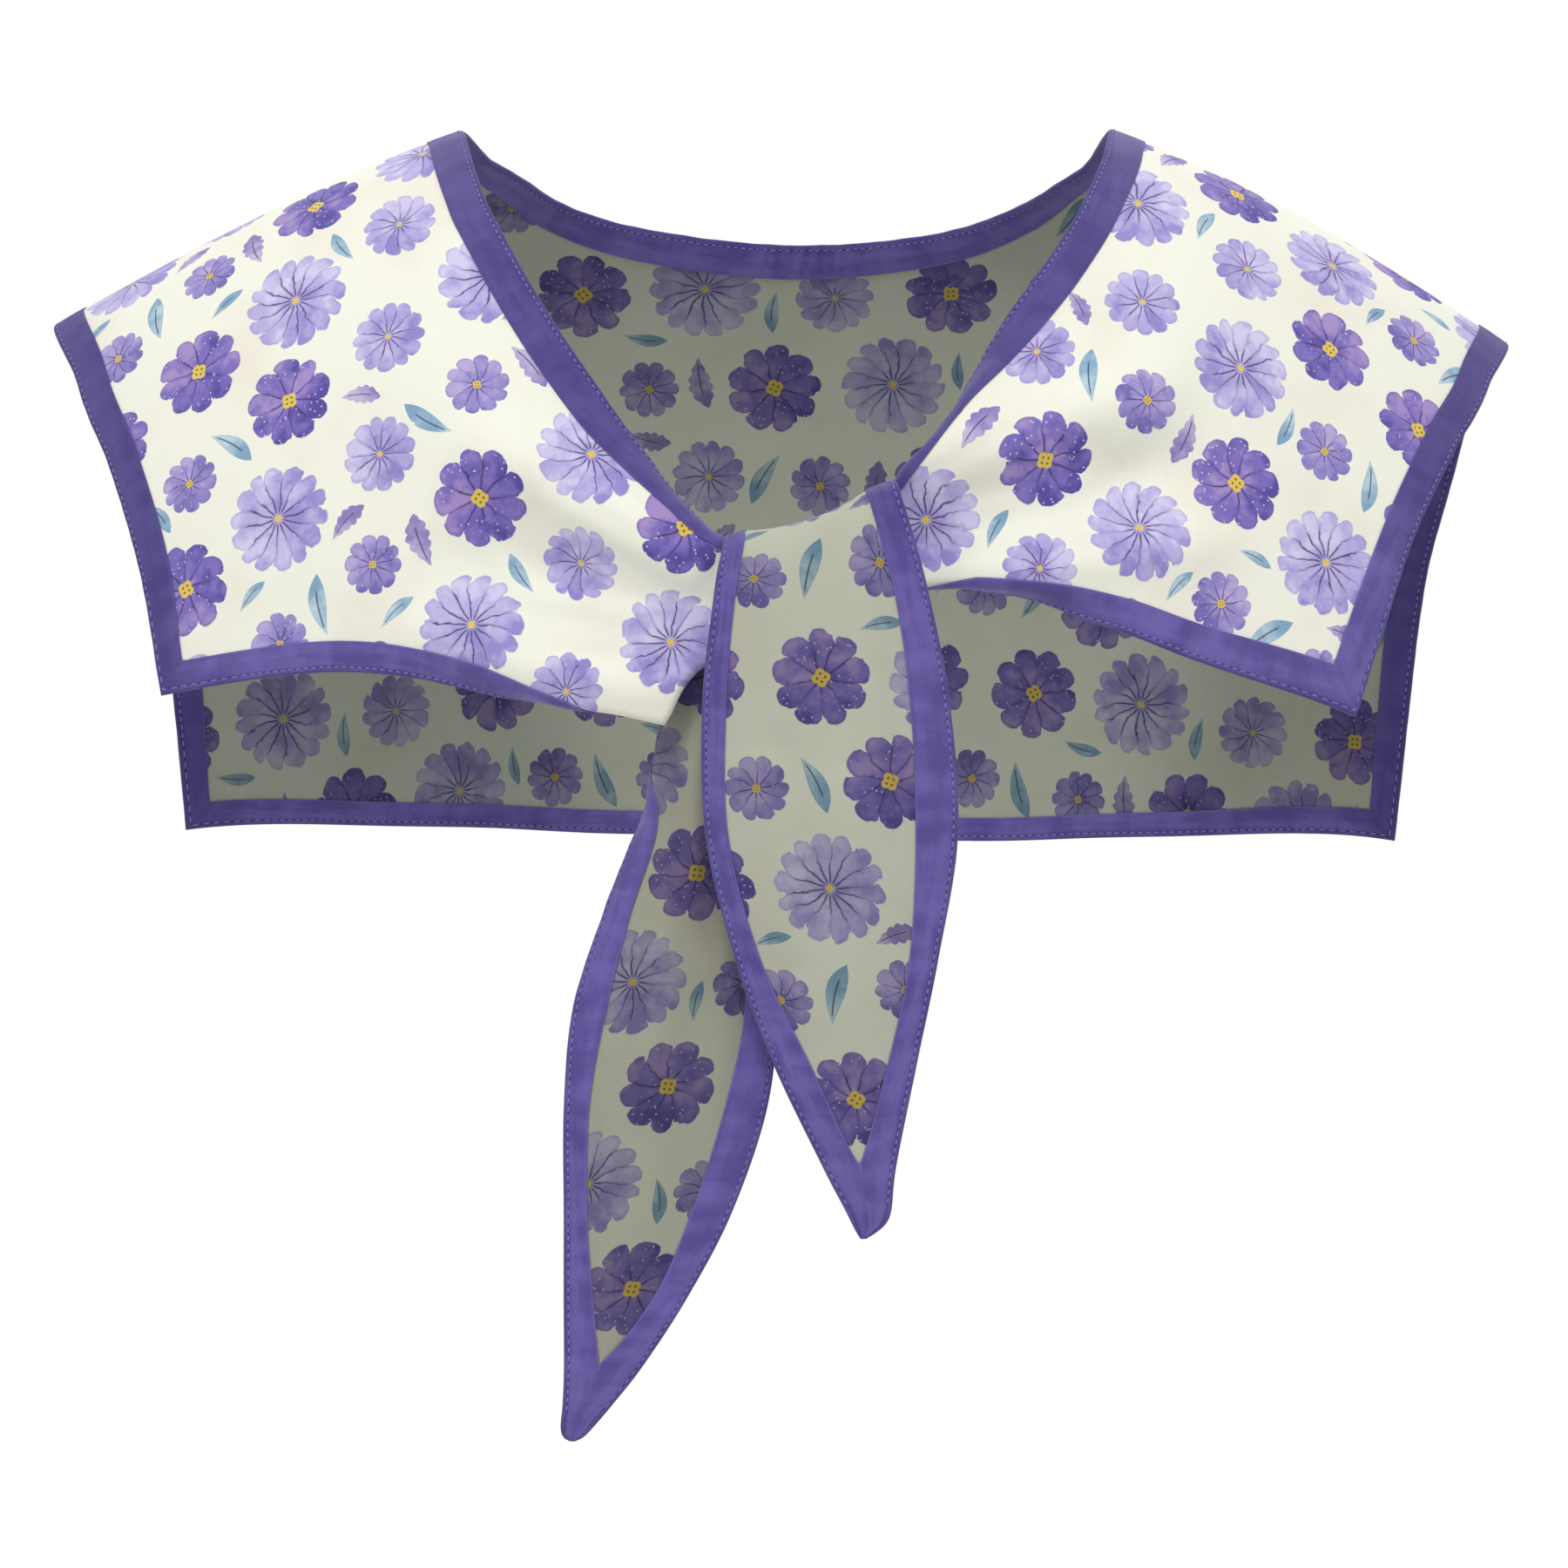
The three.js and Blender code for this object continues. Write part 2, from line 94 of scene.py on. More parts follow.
def ridge_height(x):
    """The height of the shoulder line."""
    slope = np.where(x < 0, *RIDGE_SLOPE)
    steepening = np.where(x < 0, *RIDGE_STEEPENING)
    past = np.abs(x) - RIDGE_START
    run = (past + np.hypot(past, RIDGE_SOFTNESS)) / 2
    return RIDGE_TOP - slope * run - steepening * run**2


def turn_at(x, z, side):
    """How far round the shoulder a height lies, negative in front."""
    height = np.where(side < 0, FRONT_HEIGHT, BACK_HEIGHT)
    drop = np.maximum(ridge_height(x) - z, 0)
    round_part = np.arccos(1 - np.minimum(drop / height, 1)) / (pi / 2)
    return side * (round_part + np.maximum(drop - height, 0) / (height * pi / 2))


def on_form(x, turn):
    """The point of the form for an x and a turn."""
    depth = np.where(turn < 0, -FRONT_DEPTH, BACK_DEPTH)
    height = np.where(turn < 0, FRONT_HEIGHT, BACK_HEIGHT)
    share = np.minimum(np.abs(x) / FORM_HALF_WIDTH, WIDEST_SHARE)
    angle = np.minimum(np.abs(turn), 1) * pi / 2
    below = np.maximum(np.abs(turn) - 1, 0) * height * pi / 2
    y = depth * (1 - share**PLAN_POWER) ** (1 / PLAN_POWER) * np.sin(angle)
    z = ridge_height(x) - height * (1 - np.cos(angle)) - below
    return np.stack([x, y, z], -1)


print("shoulder line 200 mm out:", round(float(ridge_height(np.array(200.0))), 1), "mm")

# %% [markdown]
# ## The sections of the collar
#
# Each section is a line across the cloth, from the seam at the neckline to the seam at the hem.
# They go round the neck, from the knot over the wearer's right shoulder to the back, and over the
# left shoulder to the knot again. A smooth curve through their ends gives both seams. At the four
# corners of the cape, and where its edge folds under beside the knot, the hem breaks off, so there
# the curve starts anew.

# %% Sections
FRONT, BACK = -1, 1
RIDGE = np.nan
COLLAR_COLUMNS = ("side", "corner", "neck_x", "neck_z", "hem_x", "hem_z",
                  "neck_band", "hem_band", "neck_roll", "hem_roll", "forward")
COLLAR = [
    # side, corner, neck x and z, hem x and z, band widths, rolls in degrees, forward
    (FRONT, 0, 4, -145, 4, -163, 6, 9.5, 150, 165, 2),
    (FRONT, 0, -24, -134.6, -27, -169.6, 7, 9.5, 82, 165, 2.5),
    (FRONT, 1, -38, -123.3, -38.7, -187.4, 9, 9.5, 56, 165, 2),
    (FRONT, 0, -51, -111.5, -53, -184.4, 11, 9.5, 32, 150, 1),
    (FRONT, 0, -64.2, -97.8, -71, -180.3, 12, 9.5, 12, 78, 0),
    (FRONT, 0, -79.8, -76.1, -97.2, -169.8, 12, 9.5, 0, 14, 0),
    (FRONT, 0, -92, -56, -138.2, -163.5, 12, 9.5, 0, 0, 0),
    (FRONT, 1, -101.5, -38.5, -185.4, -169.2, 12, 9.5, 0, 0, 0),
    (FRONT, 0, -105.6, -29.5, -190.5, -137, 12, 11.5, 0, 0, 0),
    (FRONT, 0, -110, -17.5, -201.5, -103.5, 12, 11.5, 0, 0, 0),
    (FRONT, 0, -112.8, -8.3, -213, -77, 12, 11.5, 0, 0, 0),
    (FRONT, 0, -114, RIDGE, -222, RIDGE, 12, 11.5, 0, 0, 0),
    (BACK, 0, -107.5, -9, -204.5, -95, 12, 11.5, 18, 0, 0),
    (BACK, 0, -96, -16, -194, -142, 12, 11.5, 14, 0, 0),
    (BACK, 1, -79, -27, -188.8, -212.5, 12, 8.6, 8, 0, 0),
    (BACK, 0, -50, -36.3, -98, -213.5, 12, 7.8, 4, 0, 0),
    (BACK, 0, 0, -42, 0, -215.5, 12, 7.8, 0, 0, 0),
    (BACK, 0, 50, -37.4, 98, -216.8, 12, 7.8, 8, 0, 0),
    (BACK, 1, 79, -27, 188.4, -215, 12, 9.4, 18, 0, 0),
    (BACK, 0, 96, -15, 195, -142, 12, 11.5, 32, 0, 0),
    (BACK, 0, 106.5, -9.5, 205, -97, 12, 11.5, 18, 0, 0),
    (BACK, 0, 111.2, RIDGE, 216.7, RIDGE, 12, 11.5, 0, 0, 0),
    (FRONT, 0, 110, -9.5, 208.5, -77, 12, 11.5, 0, 0, 0),
    (FRONT, 0, 107, -19, 196.5, -97, 12, 11.5, 0, 0, 0),
    (FRONT, 0, 99.5, -35, 181, -128, 12, 11.5, 0, 0, 0),
    (FRONT, 1, 90, -50.5, 164.7, -170.4, 12, 13, 0, 0, 0),
    (FRONT, 0, 79.5, -64.5, 126.5, -159.4, 12, 11.2, 12, 0, 0),
    (FRONT, 0, 66.6, -79, 100.7, -150.6, 12, 10.3, 45, 0, 0),
    (FRONT, 0, 54.8, -90.9, 81.4, -146.4, 12, 9.8, 70, 36, 0),
    (FRONT, 0, 43.4, -105.1, 61, -144.7, 10, 9.8, 95, 80, -1.5),
    (FRONT, 0, 35.5, -115, 42, -144.8, 8, 9.8, 105, 120, -3.5),
    (FRONT, 0, 24, -131, 24, -150, 6, 9.8, 150, 150, -6),
]


def read_table(columns, rows):
    """The columns of a table by their names."""
    return dict(zip(columns, np.array(rows, float).T))


def smooth(values, at, corners=None):
    """A curve through evenly spaced values, read at places between them."""
    last = len(values) - 1
    start = np.clip(np.floor(at).astype(int), 0, last - 1)
    t = at - start
    first, second = values[start], values[start + 1]
    before, after = values[np.maximum(start - 1, 0)], values[np.minimum(start + 2, last)]
    if corners is not None:
        before = np.where(corners[start], 2 * first - second, before)
        after = np.where(corners[start + 1], 2 * second - first, after)
    bend = 2 * before - 5 * first + 4 * second - after
    twist = 3 * (first - second) + after - before
    return 0.5 * (2 * first + (second - before) * t + bend * t**2 + twist * t**3)


sections = read_table(COLLAR_COLUMNS, COLLAR)
corners = sections["corner"] > 0
for edge in ("neck", "hem"):
    x, z = sections[edge + "_x"], sections[edge + "_z"]
    ridge = ridge_height(x)
    sections[edge + "_turn"] = turn_at(x, np.where(np.isnan(z), ridge, z), sections["side"])
LAST_SECTION = len(COLLAR) - 1
print(len(COLLAR), "sections, corners at", np.flatnonzero(corners))

# %% [markdown]
# ## Folds and creases
#
# A knot pulls the cloth, and soft ridges and dips run out from it over both front panels. Two more
# ridges hang in the back panel. They are bell-shaped, along straight lines. Small creases near the
# knot and a slow unevenness come on top, because cloth that is perfectly even looks like metal.

# %% Folds
FOLD_COLUMNS = ("side", "from_x", "from_z", "to_x", "to_z", "width", "height")
FOLDS = [
    (FRONT, -22, -140, -104, -98, 12, 6.0),
    (FRONT, -16, -165, -112, -132, 14, -6.0),
    (FRONT, -34, -182, -124, -158, 9, 4.0),
    (FRONT, -80, -128, -128, -66, 18, 2.4),
    (FRONT, 20, -116, 124, -82, 12, 6.0),
    (FRONT, 22, -134, 128, -108, 12, -5.6),
    (FRONT, 46, -143, 146, -132, 9, 3.6),
    (FRONT, 92, -104, 140, -50, 18, 2.2),
    (BACK, -52, -120, -70, -212, 17, 2.4),
    (BACK, 60, -110, 84, -214, 17, 2.6),
    (BACK, 4, -90, 2, -214, 20, -2.2),
]
CREASES = [
    (FRONT, -26, -148, -78, -118, 3.6, 1.3),
    (FRONT, -26, -160, -86, -148, 4.2, 1.5),
    (FRONT, -28, -138, -66, -106, 3.4, -1.2),
    (FRONT, -30, -172, -96, -164, 4.5, -1.3),
    (FRONT, -70, -158, -104, -124, 5, 0.8),
    (FRONT, 30, -120, 84, -90, 3.8, -1.0),
    (FRONT, 32, -130, 98, -114, 4.4, 1.2),
    (FRONT, 36, -138, 106, -134, 4, -0.9),
    (FRONT, 76, -126, 112, -92, 5, 0.8),
    (BACK, -22, -62, -30, -150, 9, 0.9),
    (BACK, 30, -60, 44, -160, 10, 0.9),
    (BACK, -120, -120, -150, -208, 12, 1.1),
    (BACK, 128, -120, 152, -208, 12, 1.1),
]
UNEVEN_WAVES = [
    # radians a millimetre across and down, phase
    (0.051, 0.033, 1.3), (-0.037, 0.062, 4.1), (0.083, -0.021, 2.2), (0.029, 0.094, 5.7),
]
WAVES_TOGETHER = 2.2
COLLAR_UNEVENNESS = 0.35


def fold_height(x, z, side, rows):
    """How far the folds of a table lift the cloth."""
    height = np.zeros_like(x)
    for row in rows:
        fold = dict(zip(FOLD_COLUMNS, row))
        along = np.array([fold["to_x"] - fold["from_x"], fold["to_z"] - fold["from_z"]])
        length = np.hypot(*along)
        off_x, off_z = x - fold["from_x"], z - fold["from_z"]
        share = (off_x * along[0] + off_z * along[1]) / length**2
        off = (off_x * along[1] - off_z * along[0]) / length
        ends = np.maximum(0, 1 - (2 * share - 1) ** 4)
        bell = fold["height"] * ends * np.exp(-((off / fold["width"]) ** 2))
        height += np.where((side == fold["side"]) & (share > 0) & (share < 1), bell, 0)
    return height


def unevenness(x, z, seed=0.0):
    """A slow, irregular wave of about one unit in height."""
    waves = [np.sin(x * a + z * b + phase + seed) for a, b, phase in UNEVEN_WAVES]
    return sum(waves) / WAVES_TOGETHER


print(len(FOLDS), "folds and", len(CREASES), "creases in the collar")

# %% [markdown]
# A point of the cloth is found in three steps: between the two seams, then on the form of the
# shoulders, then moved out by its folds. Two short steps along the cloth give its normal.

# %% Points of the cloth
SMALL_STEP = 0.002


def collar_point(at, share):
    """The middle of the cloth at a place between two sections, from the neck seam to the hem's."""
    def mix(name):
        neck = smooth(sections["neck_" + name], at)
        hem = smooth(sections["hem_" + name], at, corners)
        return neck * (1 - share) + hem * share

    turn = mix("turn")
    point = on_form(mix("x"), turn)
    side = np.where(turn < 0, FRONT, BACK)
    x, z = point[..., 0], point[..., 2]
    lift = fold_height(x, z, side, FOLDS) + fold_height(x, z, side, CREASES)
    away_from_shoulder = np.minimum(np.abs(turn) * 3, 1)
    lift += COLLAR_UNEVENNESS * unevenness(x, z) * away_from_shoulder
    point[..., 1] += side * lift - smooth(sections["forward"], at)
    return point


def unit(vectors):
    """Vectors of length 1."""
    return vectors / np.maximum(np.linalg.norm(vectors, axis=-1, keepdims=True), 1e-9)


def travelled(points):
    """How far along a line each of its points lies."""
    return np.concatenate([[0], np.cumsum(np.linalg.norm(np.diff(points, axis=0), axis=1))])


def collar_normal(at, share):
    """The direction away from the wearer, from two short steps along the cloth."""
    ahead = np.minimum(at + SMALL_STEP, LAST_SECTION)
    behind = np.maximum(at - SMALL_STEP, 0)
    along = collar_point(ahead, share) - collar_point(behind, share)
    up = np.minimum(share + SMALL_STEP, 1)
    down = np.maximum(share - SMALL_STEP, 0)
    across = collar_point(at, up) - collar_point(at, down)
    return unit(np.cross(along, across))


print("middle of the back hem:", collar_point(np.array([16.0]), np.array([1.0])).round(1))

# %% [markdown]
# ## Meshes from grids
#
# Every piece of this collar is a sheet: a grid of points with a thickness, or a closed outline
# drawn along a path. Two small functions build both kinds, and they store where each point lies on
# the flat cloth in a UV map named print, in units of 100 mm. The materials read it, so the print
# follows the cloth and doesn't swim through its folds.

# %% Mesh builders
PRINT_UNIT = 100
CLOTH_HALF_THICKNESS = 0.6


def make_object(name, vertices, faces, maps, face_finishes=None):
    """A mesh with its UV maps, given as a name and a place in millimetres for each vertex."""
    mesh = bpy.data.meshes.new(name)
    mesh.from_pydata((vertices * MM).tolist(), [], faces)
    corner_vertices = np.empty(len(mesh.loops), int)
    mesh.loops.foreach_get("vertex_index", corner_vertices)
    for map_name, places in maps.items():
        layer = mesh.uv_layers.new(name=map_name)
        layer.data.foreach_set("uv", (places[corner_vertices] / PRINT_UNIT).astype("f").ravel())
    if face_finishes is not None:
        mesh.polygons.foreach_set("material_index", face_finishes)
    mesh.polygons.foreach_set("use_smooth", [True] * len(mesh.polygons))
    mesh.update()
    made = bpy.data.objects.new(name, mesh)
    bpy.context.scene.collection.objects.link(made)
    print(f"{name}: {len(mesh.polygons)} faces")
    return made


def make_sheet(name, middle, normals, flat_places):
    """A grid with a thickness. The face along the normals has finish 0, the other one finish 1."""
    half = normals * CLOTH_HALF_THICKNESS
    rows, columns = middle.shape[:2]
    count = rows * columns
    index = np.arange(count).reshape(rows, columns)
    quads = np.stack([index[:-1, :-1], index[1:, :-1], index[1:, 1:], index[:-1, 1:]], -1)
    front = quads.reshape(-1, 4)
    back = front[:, ::-1] + count
    rim = np.concatenate([index[:, 0], index[-1, 1:], index[-2::-1, -1], index[0, -2::-1]])
    sides = np.stack([rim[:-1], rim[:-1] + count, rim[1:] + count, rim[1:]], -1)
    vertices = np.concatenate([(middle + half).reshape(-1, 3), (middle - half).reshape(-1, 3)])
    finishes = np.repeat([0, 1, 0], [len(front), len(back), len(sides)])
    flat = np.tile(flat_places.reshape(-1, 2), (2, 1))
    faces = np.concatenate([front, back, sides]).tolist()
    return make_object(name, vertices, faces, {"print": flat}, finishes)


def make_tube(name, rings, maps):
    """Closed outlines joined one after the other, with a face over both ends.

    rings is pieces x rings x points x 3, so that many short tubes can share one mesh."""
    pieces, lengths, around = rings.shape[:3]
    index = np.arange(pieces * lengths * around).reshape(pieces, lengths, around)
    following = np.roll(index, -1, axis=2)
    quads = np.stack([index[:, :-1], index[:, 1:], following[:, 1:], following[:, :-1]], -1)
    faces = quads.reshape(-1, 4).tolist()
    faces += index[:, 0].tolist() + index[:, -1, ::-1].tolist()
    maps = {map_name: places.reshape(-1, 2) for map_name, places in maps.items()}
    return make_object(name, rings.reshape(-1, 3), faces, maps)


print("cloth", 2 * CLOTH_HALF_THICKNESS, "mm thick")

# %% [markdown]
# ## Laying the collar out flat
#
# To print the cloth, its flat shape is needed. Each small triangle of the curved sheet is turned
# in the plane to where it fits its neighbours best, then all corners are moved to agree, and that
# is repeated. Blender's own unwrapping does something similar, but it is made for one mesh at a
# time, and here the flat size also has to be known in millimetres.

# %% Triangles laid flat
def grid_triangles(rows, columns):
    """The point numbers of the triangles in a grid, two for each face."""
    index = np.arange(rows * columns).reshape(rows, columns)
    a, b, c, d = (index[:-1, :-1], index[1:, :-1], index[1:, 1:], index[:-1, 1:])
    return np.concatenate([np.stack([a, b, c], -1), np.stack([a, c, d], -1)]).reshape(-1, 3)


def flat_triangles(points, triangles, flat):
    """Each triangle in the plane by itself, with its true size, facing as the start does."""
    corner = points.reshape(-1, 3)[triangles]
    first, second = corner[:, 1] - corner[:, 0], corner[:, 2] - corner[:, 0]
    length = np.linalg.norm(first, axis=1)
    x = np.einsum("ij,ij->i", second, first) / length
    y = np.linalg.norm(np.cross(first, second), axis=1) / length
    turned = flat[triangles]
    one, two = turned[:, 1] - turned[:, 0], turned[:, 2] - turned[:, 0]
    y = y * np.sign(np.sum(one[:, 0] * two[:, 1] - one[:, 1] * two[:, 0]))
    zero = np.zeros_like(x)
    ends = [np.stack(end, -1) for end in ((zero, zero), (length, zero), (x, y))]
    return np.stack(ends, 1)


def joined_edges(triangles, own, count):
    """The edges of all triangles with their weights, and the equations that join them."""
    system = np.zeros((count, count))
    edges = []
    for k in range(3):
        i, j, opposite = k, (k + 1) % 3, (k + 2) % 3
        to_i, to_j = own[:, i] - own[:, opposite], own[:, j] - own[:, opposite]
        cross = np.abs(to_i[:, 0] * to_j[:, 1] - to_i[:, 1] * to_j[:, 0])
        weight = np.sum(to_i * to_j, 1) / np.maximum(cross, 1e-6)
        from_vertex, to_vertex = triangles[:, i], triangles[:, j]
        for p, q, sign in ((from_vertex, from_vertex, 1), (to_vertex, to_vertex, 1),
                           (from_vertex, to_vertex, -1), (to_vertex, from_vertex, -1)):
            np.add.at(system, (p, q), sign * weight)
        edges.append((from_vertex, to_vertex, weight, own[:, i] - own[:, j]))
    system[0, 0] += 1
    return edges, np.linalg.inv(system)


print("triangles in a patch of 2 by 2 points:", len(grid_triangles(2, 2)))

# %% [markdown]
# Each round first turns every triangle to its neighbours, then moves the corners to agree. Forty
# rounds are plenty for a piece that is nearly flat already.

# %% Flat pattern
ROUNDS = 40
PATTERN_STEPS = 4
PATTERN_COLUMNS = 9
START_SPREAD = 150


def lay_flat(points, start):
    """A grid of points laid in the plane with little stretch, from a rough start."""
    rows, columns = points.shape[:2]
    triangles = grid_triangles(rows, columns)
    flat = start.reshape(-1, 2).copy()
    own = flat_triangles(points, triangles, flat)
    edges, solve = joined_edges(triangles, own, len(flat))
    for _ in range(ROUNDS):
        cosine, sine = np.zeros(len(triangles)), np.zeros(len(triangles))
        for p, q, weight, rest in edges:
            now = flat[p] - flat[q]
            cosine += weight * np.sum(rest * now, 1)
            sine += weight * (rest[:, 0] * now[:, 1] - rest[:, 1] * now[:, 0])
        angle = np.arctan2(sine, cosine)
        right = np.zeros_like(flat)
        right[0] += flat[0]
        for p, q, weight, rest in edges:
            turned = np.stack([rest[:, 0] * np.cos(angle) - rest[:, 1] * np.sin(angle),
                               rest[:, 0] * np.sin(angle) + rest[:, 1] * np.cos(angle)], -1)
            np.add.at(right, p, weight[:, None] * turned)
            np.add.at(right, q, -weight[:, None] * turned)
        flat = solve @ right
    return flat.reshape(rows, columns, 2)


def grid_area(points):
    """Area of a grid of points in the plane or in space."""
    missing = 3 - points.shape[-1]
    points = np.concatenate([points, np.zeros(points.shape[:-1] + (missing,))], -1)
    diagonals = np.cross(points[1:, 1:] - points[:-1, :-1], points[:-1, 1:] - points[1:, :-1])
    return float(np.linalg.norm(diagonals, axis=-1).sum() / 2)


pattern_at = np.linspace(0, LAST_SECTION, LAST_SECTION * PATTERN_STEPS + 1)[:, None]
pattern_share = np.linspace(0, 1, PATTERN_COLUMNS)[None, :]
coarse = collar_point(pattern_at, pattern_share)
coarse_turn = (smooth(sections["neck_turn"], pattern_at) * (1 - pattern_share)
               + smooth(sections["hem_turn"], pattern_at, corners) * pattern_share)
rough = np.stack([coarse[..., 0], coarse_turn * START_SPREAD], -1)
pattern = lay_flat(coarse, rough)
pattern_size = np.ptp(pattern.reshape(-1, 2), axis=0)
print("collar laid flat:", pattern_size.round(), "mm, stretched by",
      round(grid_area(coarse) / grid_area(pattern), 3))


def on_pattern(at, share):
    """The place on the flat cloth, read from the coarse pattern."""
    at, share = np.broadcast_arrays(at, share)
    rows = at * PATTERN_STEPS
    columns = share * (PATTERN_COLUMNS - 1)
    i = np.clip(np.floor(rows).astype(int), 0, pattern.shape[0] - 2)
    j = np.clip(np.floor(columns).astype(int), 0, PATTERN_COLUMNS - 2)
    s, t = (rows - i)[..., None], (columns - j)[..., None]
    near = pattern[i, j] * (1 - t) + pattern[i, j + 1] * t
    far = pattern[i + 1, j] * (1 - t) + pattern[i + 1, j + 1] * t
    return near * (1 - s) + far * s


# %% [markdown]
# ## Bound edges
#
# A binding is a strip of plain cloth folded round the raw edge and stitched down. Its cross
# section is a narrow U: two layers that end in turned-in folds on the print, and one round fold
# outside. The cloth ends inside it. Near the knot the edges roll under, and the U bends with them.
#
# An edge is described by rows along its seam. Each row knows the seam point, the normal of the
# cloth, the direction outwards, the width and the roll. At a corner the rows lean over until they
# meet on the mitre, as folded tape does. Where an edge rolls under far enough, the print itself
# turns over it, and the tape only starts below, out of sight.
#
# Sewn tape is never quite level. A short ripple and a slow swell run along every edge, and where
# an edge is eased in, the tape gathers in small puckers, rounded above and sharp below.

# %% Edge rows
ROLL_LENGTH = 4
STEEPEST_ROLL = 170
MOST_ROLLED = 0.75                 # of the width of a narrow band
UNDER_FROM, UNDER_TO = 90, 145
PAST_ROLL, MOST_PRINT = 0.4, 0.7   # how far the print goes on under, at most in widths
RIPPLE_HEIGHT, SWELL_HEIGHT = 0.13, 0.16
PUCKER_PERIOD, PUCKER_DRIFT, DRIFT_LENGTH = 4.2, 0.8, 5.3


def tape_ripple(travel, seed):
    """The height of the short ripple and the slow swell along an edge."""
    def wave(length, turns):
        return np.sin(travel / length + turns * seed)

    ripple = wave(1.9, 1) * wave(7.3, 2) + 0.7 * wave(3.1, 3) * wave(11.9, 1)
    return RIPPLE_HEIGHT * ripple + SWELL_HEIGHT * (wave(17.0, 1) + wave(29.0, 2))


def make_edge(seam, normal, outward, width, roll, lean=0.0, seed=0.0, pucker=0.0,
              turns_under=True):
    """The rows of an edge. lean moves them along it, and pucker gathers them."""
    travel = travelled(seam)
    under = np.clip((roll - UNDER_FROM) / (UNDER_TO - UNDER_FROM), 0, 1) * turns_under
    start = np.minimum(under * (ROLL_LENGTH + PAST_ROLL), width * MOST_PRINT)
    tangent = unit(np.cross(normal, outward))
    drift = PUCKER_DRIFT * np.sin(travel / DRIFT_LENGTH)
    gathers = 2 * np.abs(np.sin(travel * pi / PUCKER_PERIOD + drift)) - 1
    return dict(seam=seam, normal=normal, width=width, start=start, travel=travel,
                outward=outward + tangent * np.broadcast_to(lean, len(travel))[:, None],
                roll=np.radians(np.clip(roll, 0, STEEPEST_ROLL)),
                ripple=tape_ripple(travel, seed), pucker=pucker * gathers)


def edge_at(edge, travel):
    """The rows of an edge at other places along it."""
    result = {"travel": travel}
    for key, values in edge.items():
        if key == "travel":
            continue
        columns = values.reshape(len(values), -1)
        read = [np.interp(travel, edge["travel"], column) for column in columns.T]
        result[key] = np.stack(read, -1).reshape(travel.shape + values.shape[1:])
    return result


print("print turns under where an edge rolls more than", UNDER_FROM, "degrees")

# %% [markdown]
# A rolled edge is an arc and then a straight part. The arc takes up the first millimetres beyond
# the seam, and the tape goes on in the direction in which the arc ends.

# %% Places on an edge
LEAST_ROLL = 1e-4


def roll_reach(edge):
    """How far out from the seam the arc of a rolled edge goes."""
    return np.minimum(ROLL_LENGTH, edge["width"] * MOST_ROLLED)[..., None]


def edge_tilt(edge, out):
    """How far an edge has rolled over at a distance from its seam."""
    return edge["roll"][..., None] * np.clip(out / roll_reach(edge), 0, 1)


def place_on_edge(edge, out, lift):
    """Points that lie out from the seam and above the middle of the tape, with its roll."""
    width, roll = edge["width"][..., None], edge["roll"][..., None]
    turned = roll_reach(edge)
    tilt = edge_tilt(edge, out)
    radius = turned / np.maximum(roll, LEAST_ROLL)
    rolling = np.minimum(out, turned)
    straight = np.maximum(out - turned, 0)
    ahead = np.where(roll > 10 * LEAST_ROLL, radius * np.sin(tilt), rolling)
    under = np.where(roll > 10 * LEAST_ROLL, radius * (1 - np.cos(tilt)), 0)
    ahead = ahead + straight * np.cos(roll)
    under = under + straight * np.sin(roll)
    share = np.clip(out / width, 0, 1)
    sway = edge["ripple"][..., None] * share**1.3
    sway += edge["pucker"][..., None] * np.sin(pi * share**1.5)
    raised = lift + sway
    along_outward = ahead + raised * np.sin(tilt)
    along_normal = raised * np.cos(tilt) - under
    return (edge["seam"][..., None, :] + edge["outward"][..., None, :] * along_outward[..., None]
            + edge["normal"][..., None, :] * along_normal[..., None])


print("the arc of a rolled edge is", ROLL_LENGTH, "mm long")

# %% [markdown]
# The outline of the tape is given once, from the folded inner edge over the top to the outer
# fold, and mirrored. A shallow groove runs under the stitches, because thread pulls the cloth in.
# Where the tape is very narrow, at the tips, all of it shrinks.

# %% Tape outline
TAPE_HALF_THICKNESS = 1.08
TAPE_CAVITY = 0.68
STITCH_INSET = 1.5
FULL_WIDTH = 6.5
INNER_FOLD, OUTER_FOLD = (35, 90, 145), (75, 45, 15)    # degrees round each fold
INNER_MARGIN, BOTH_MARGINS = 0.6, 3.2
CAVITY_TIP, CAVITY_FULL, CAVITY_TIP_HEIGHT = 1.7, 2.3, 0.4
TAPE_TOP = [
    # distance from the inner fold, height above the plain top
    (0.45, 0.0), (1.2, 0.04),
]
TAPE_MIDDLE = [(0.3, 0.12), (0.62, 0.1)]
TAPE_GROOVE = [
    # distance from the stitches towards the inside, height above the plain top
    (0.8, 0.07), (0.35, -0.04), (0.0, -0.3), (-0.32, -0.1),
]


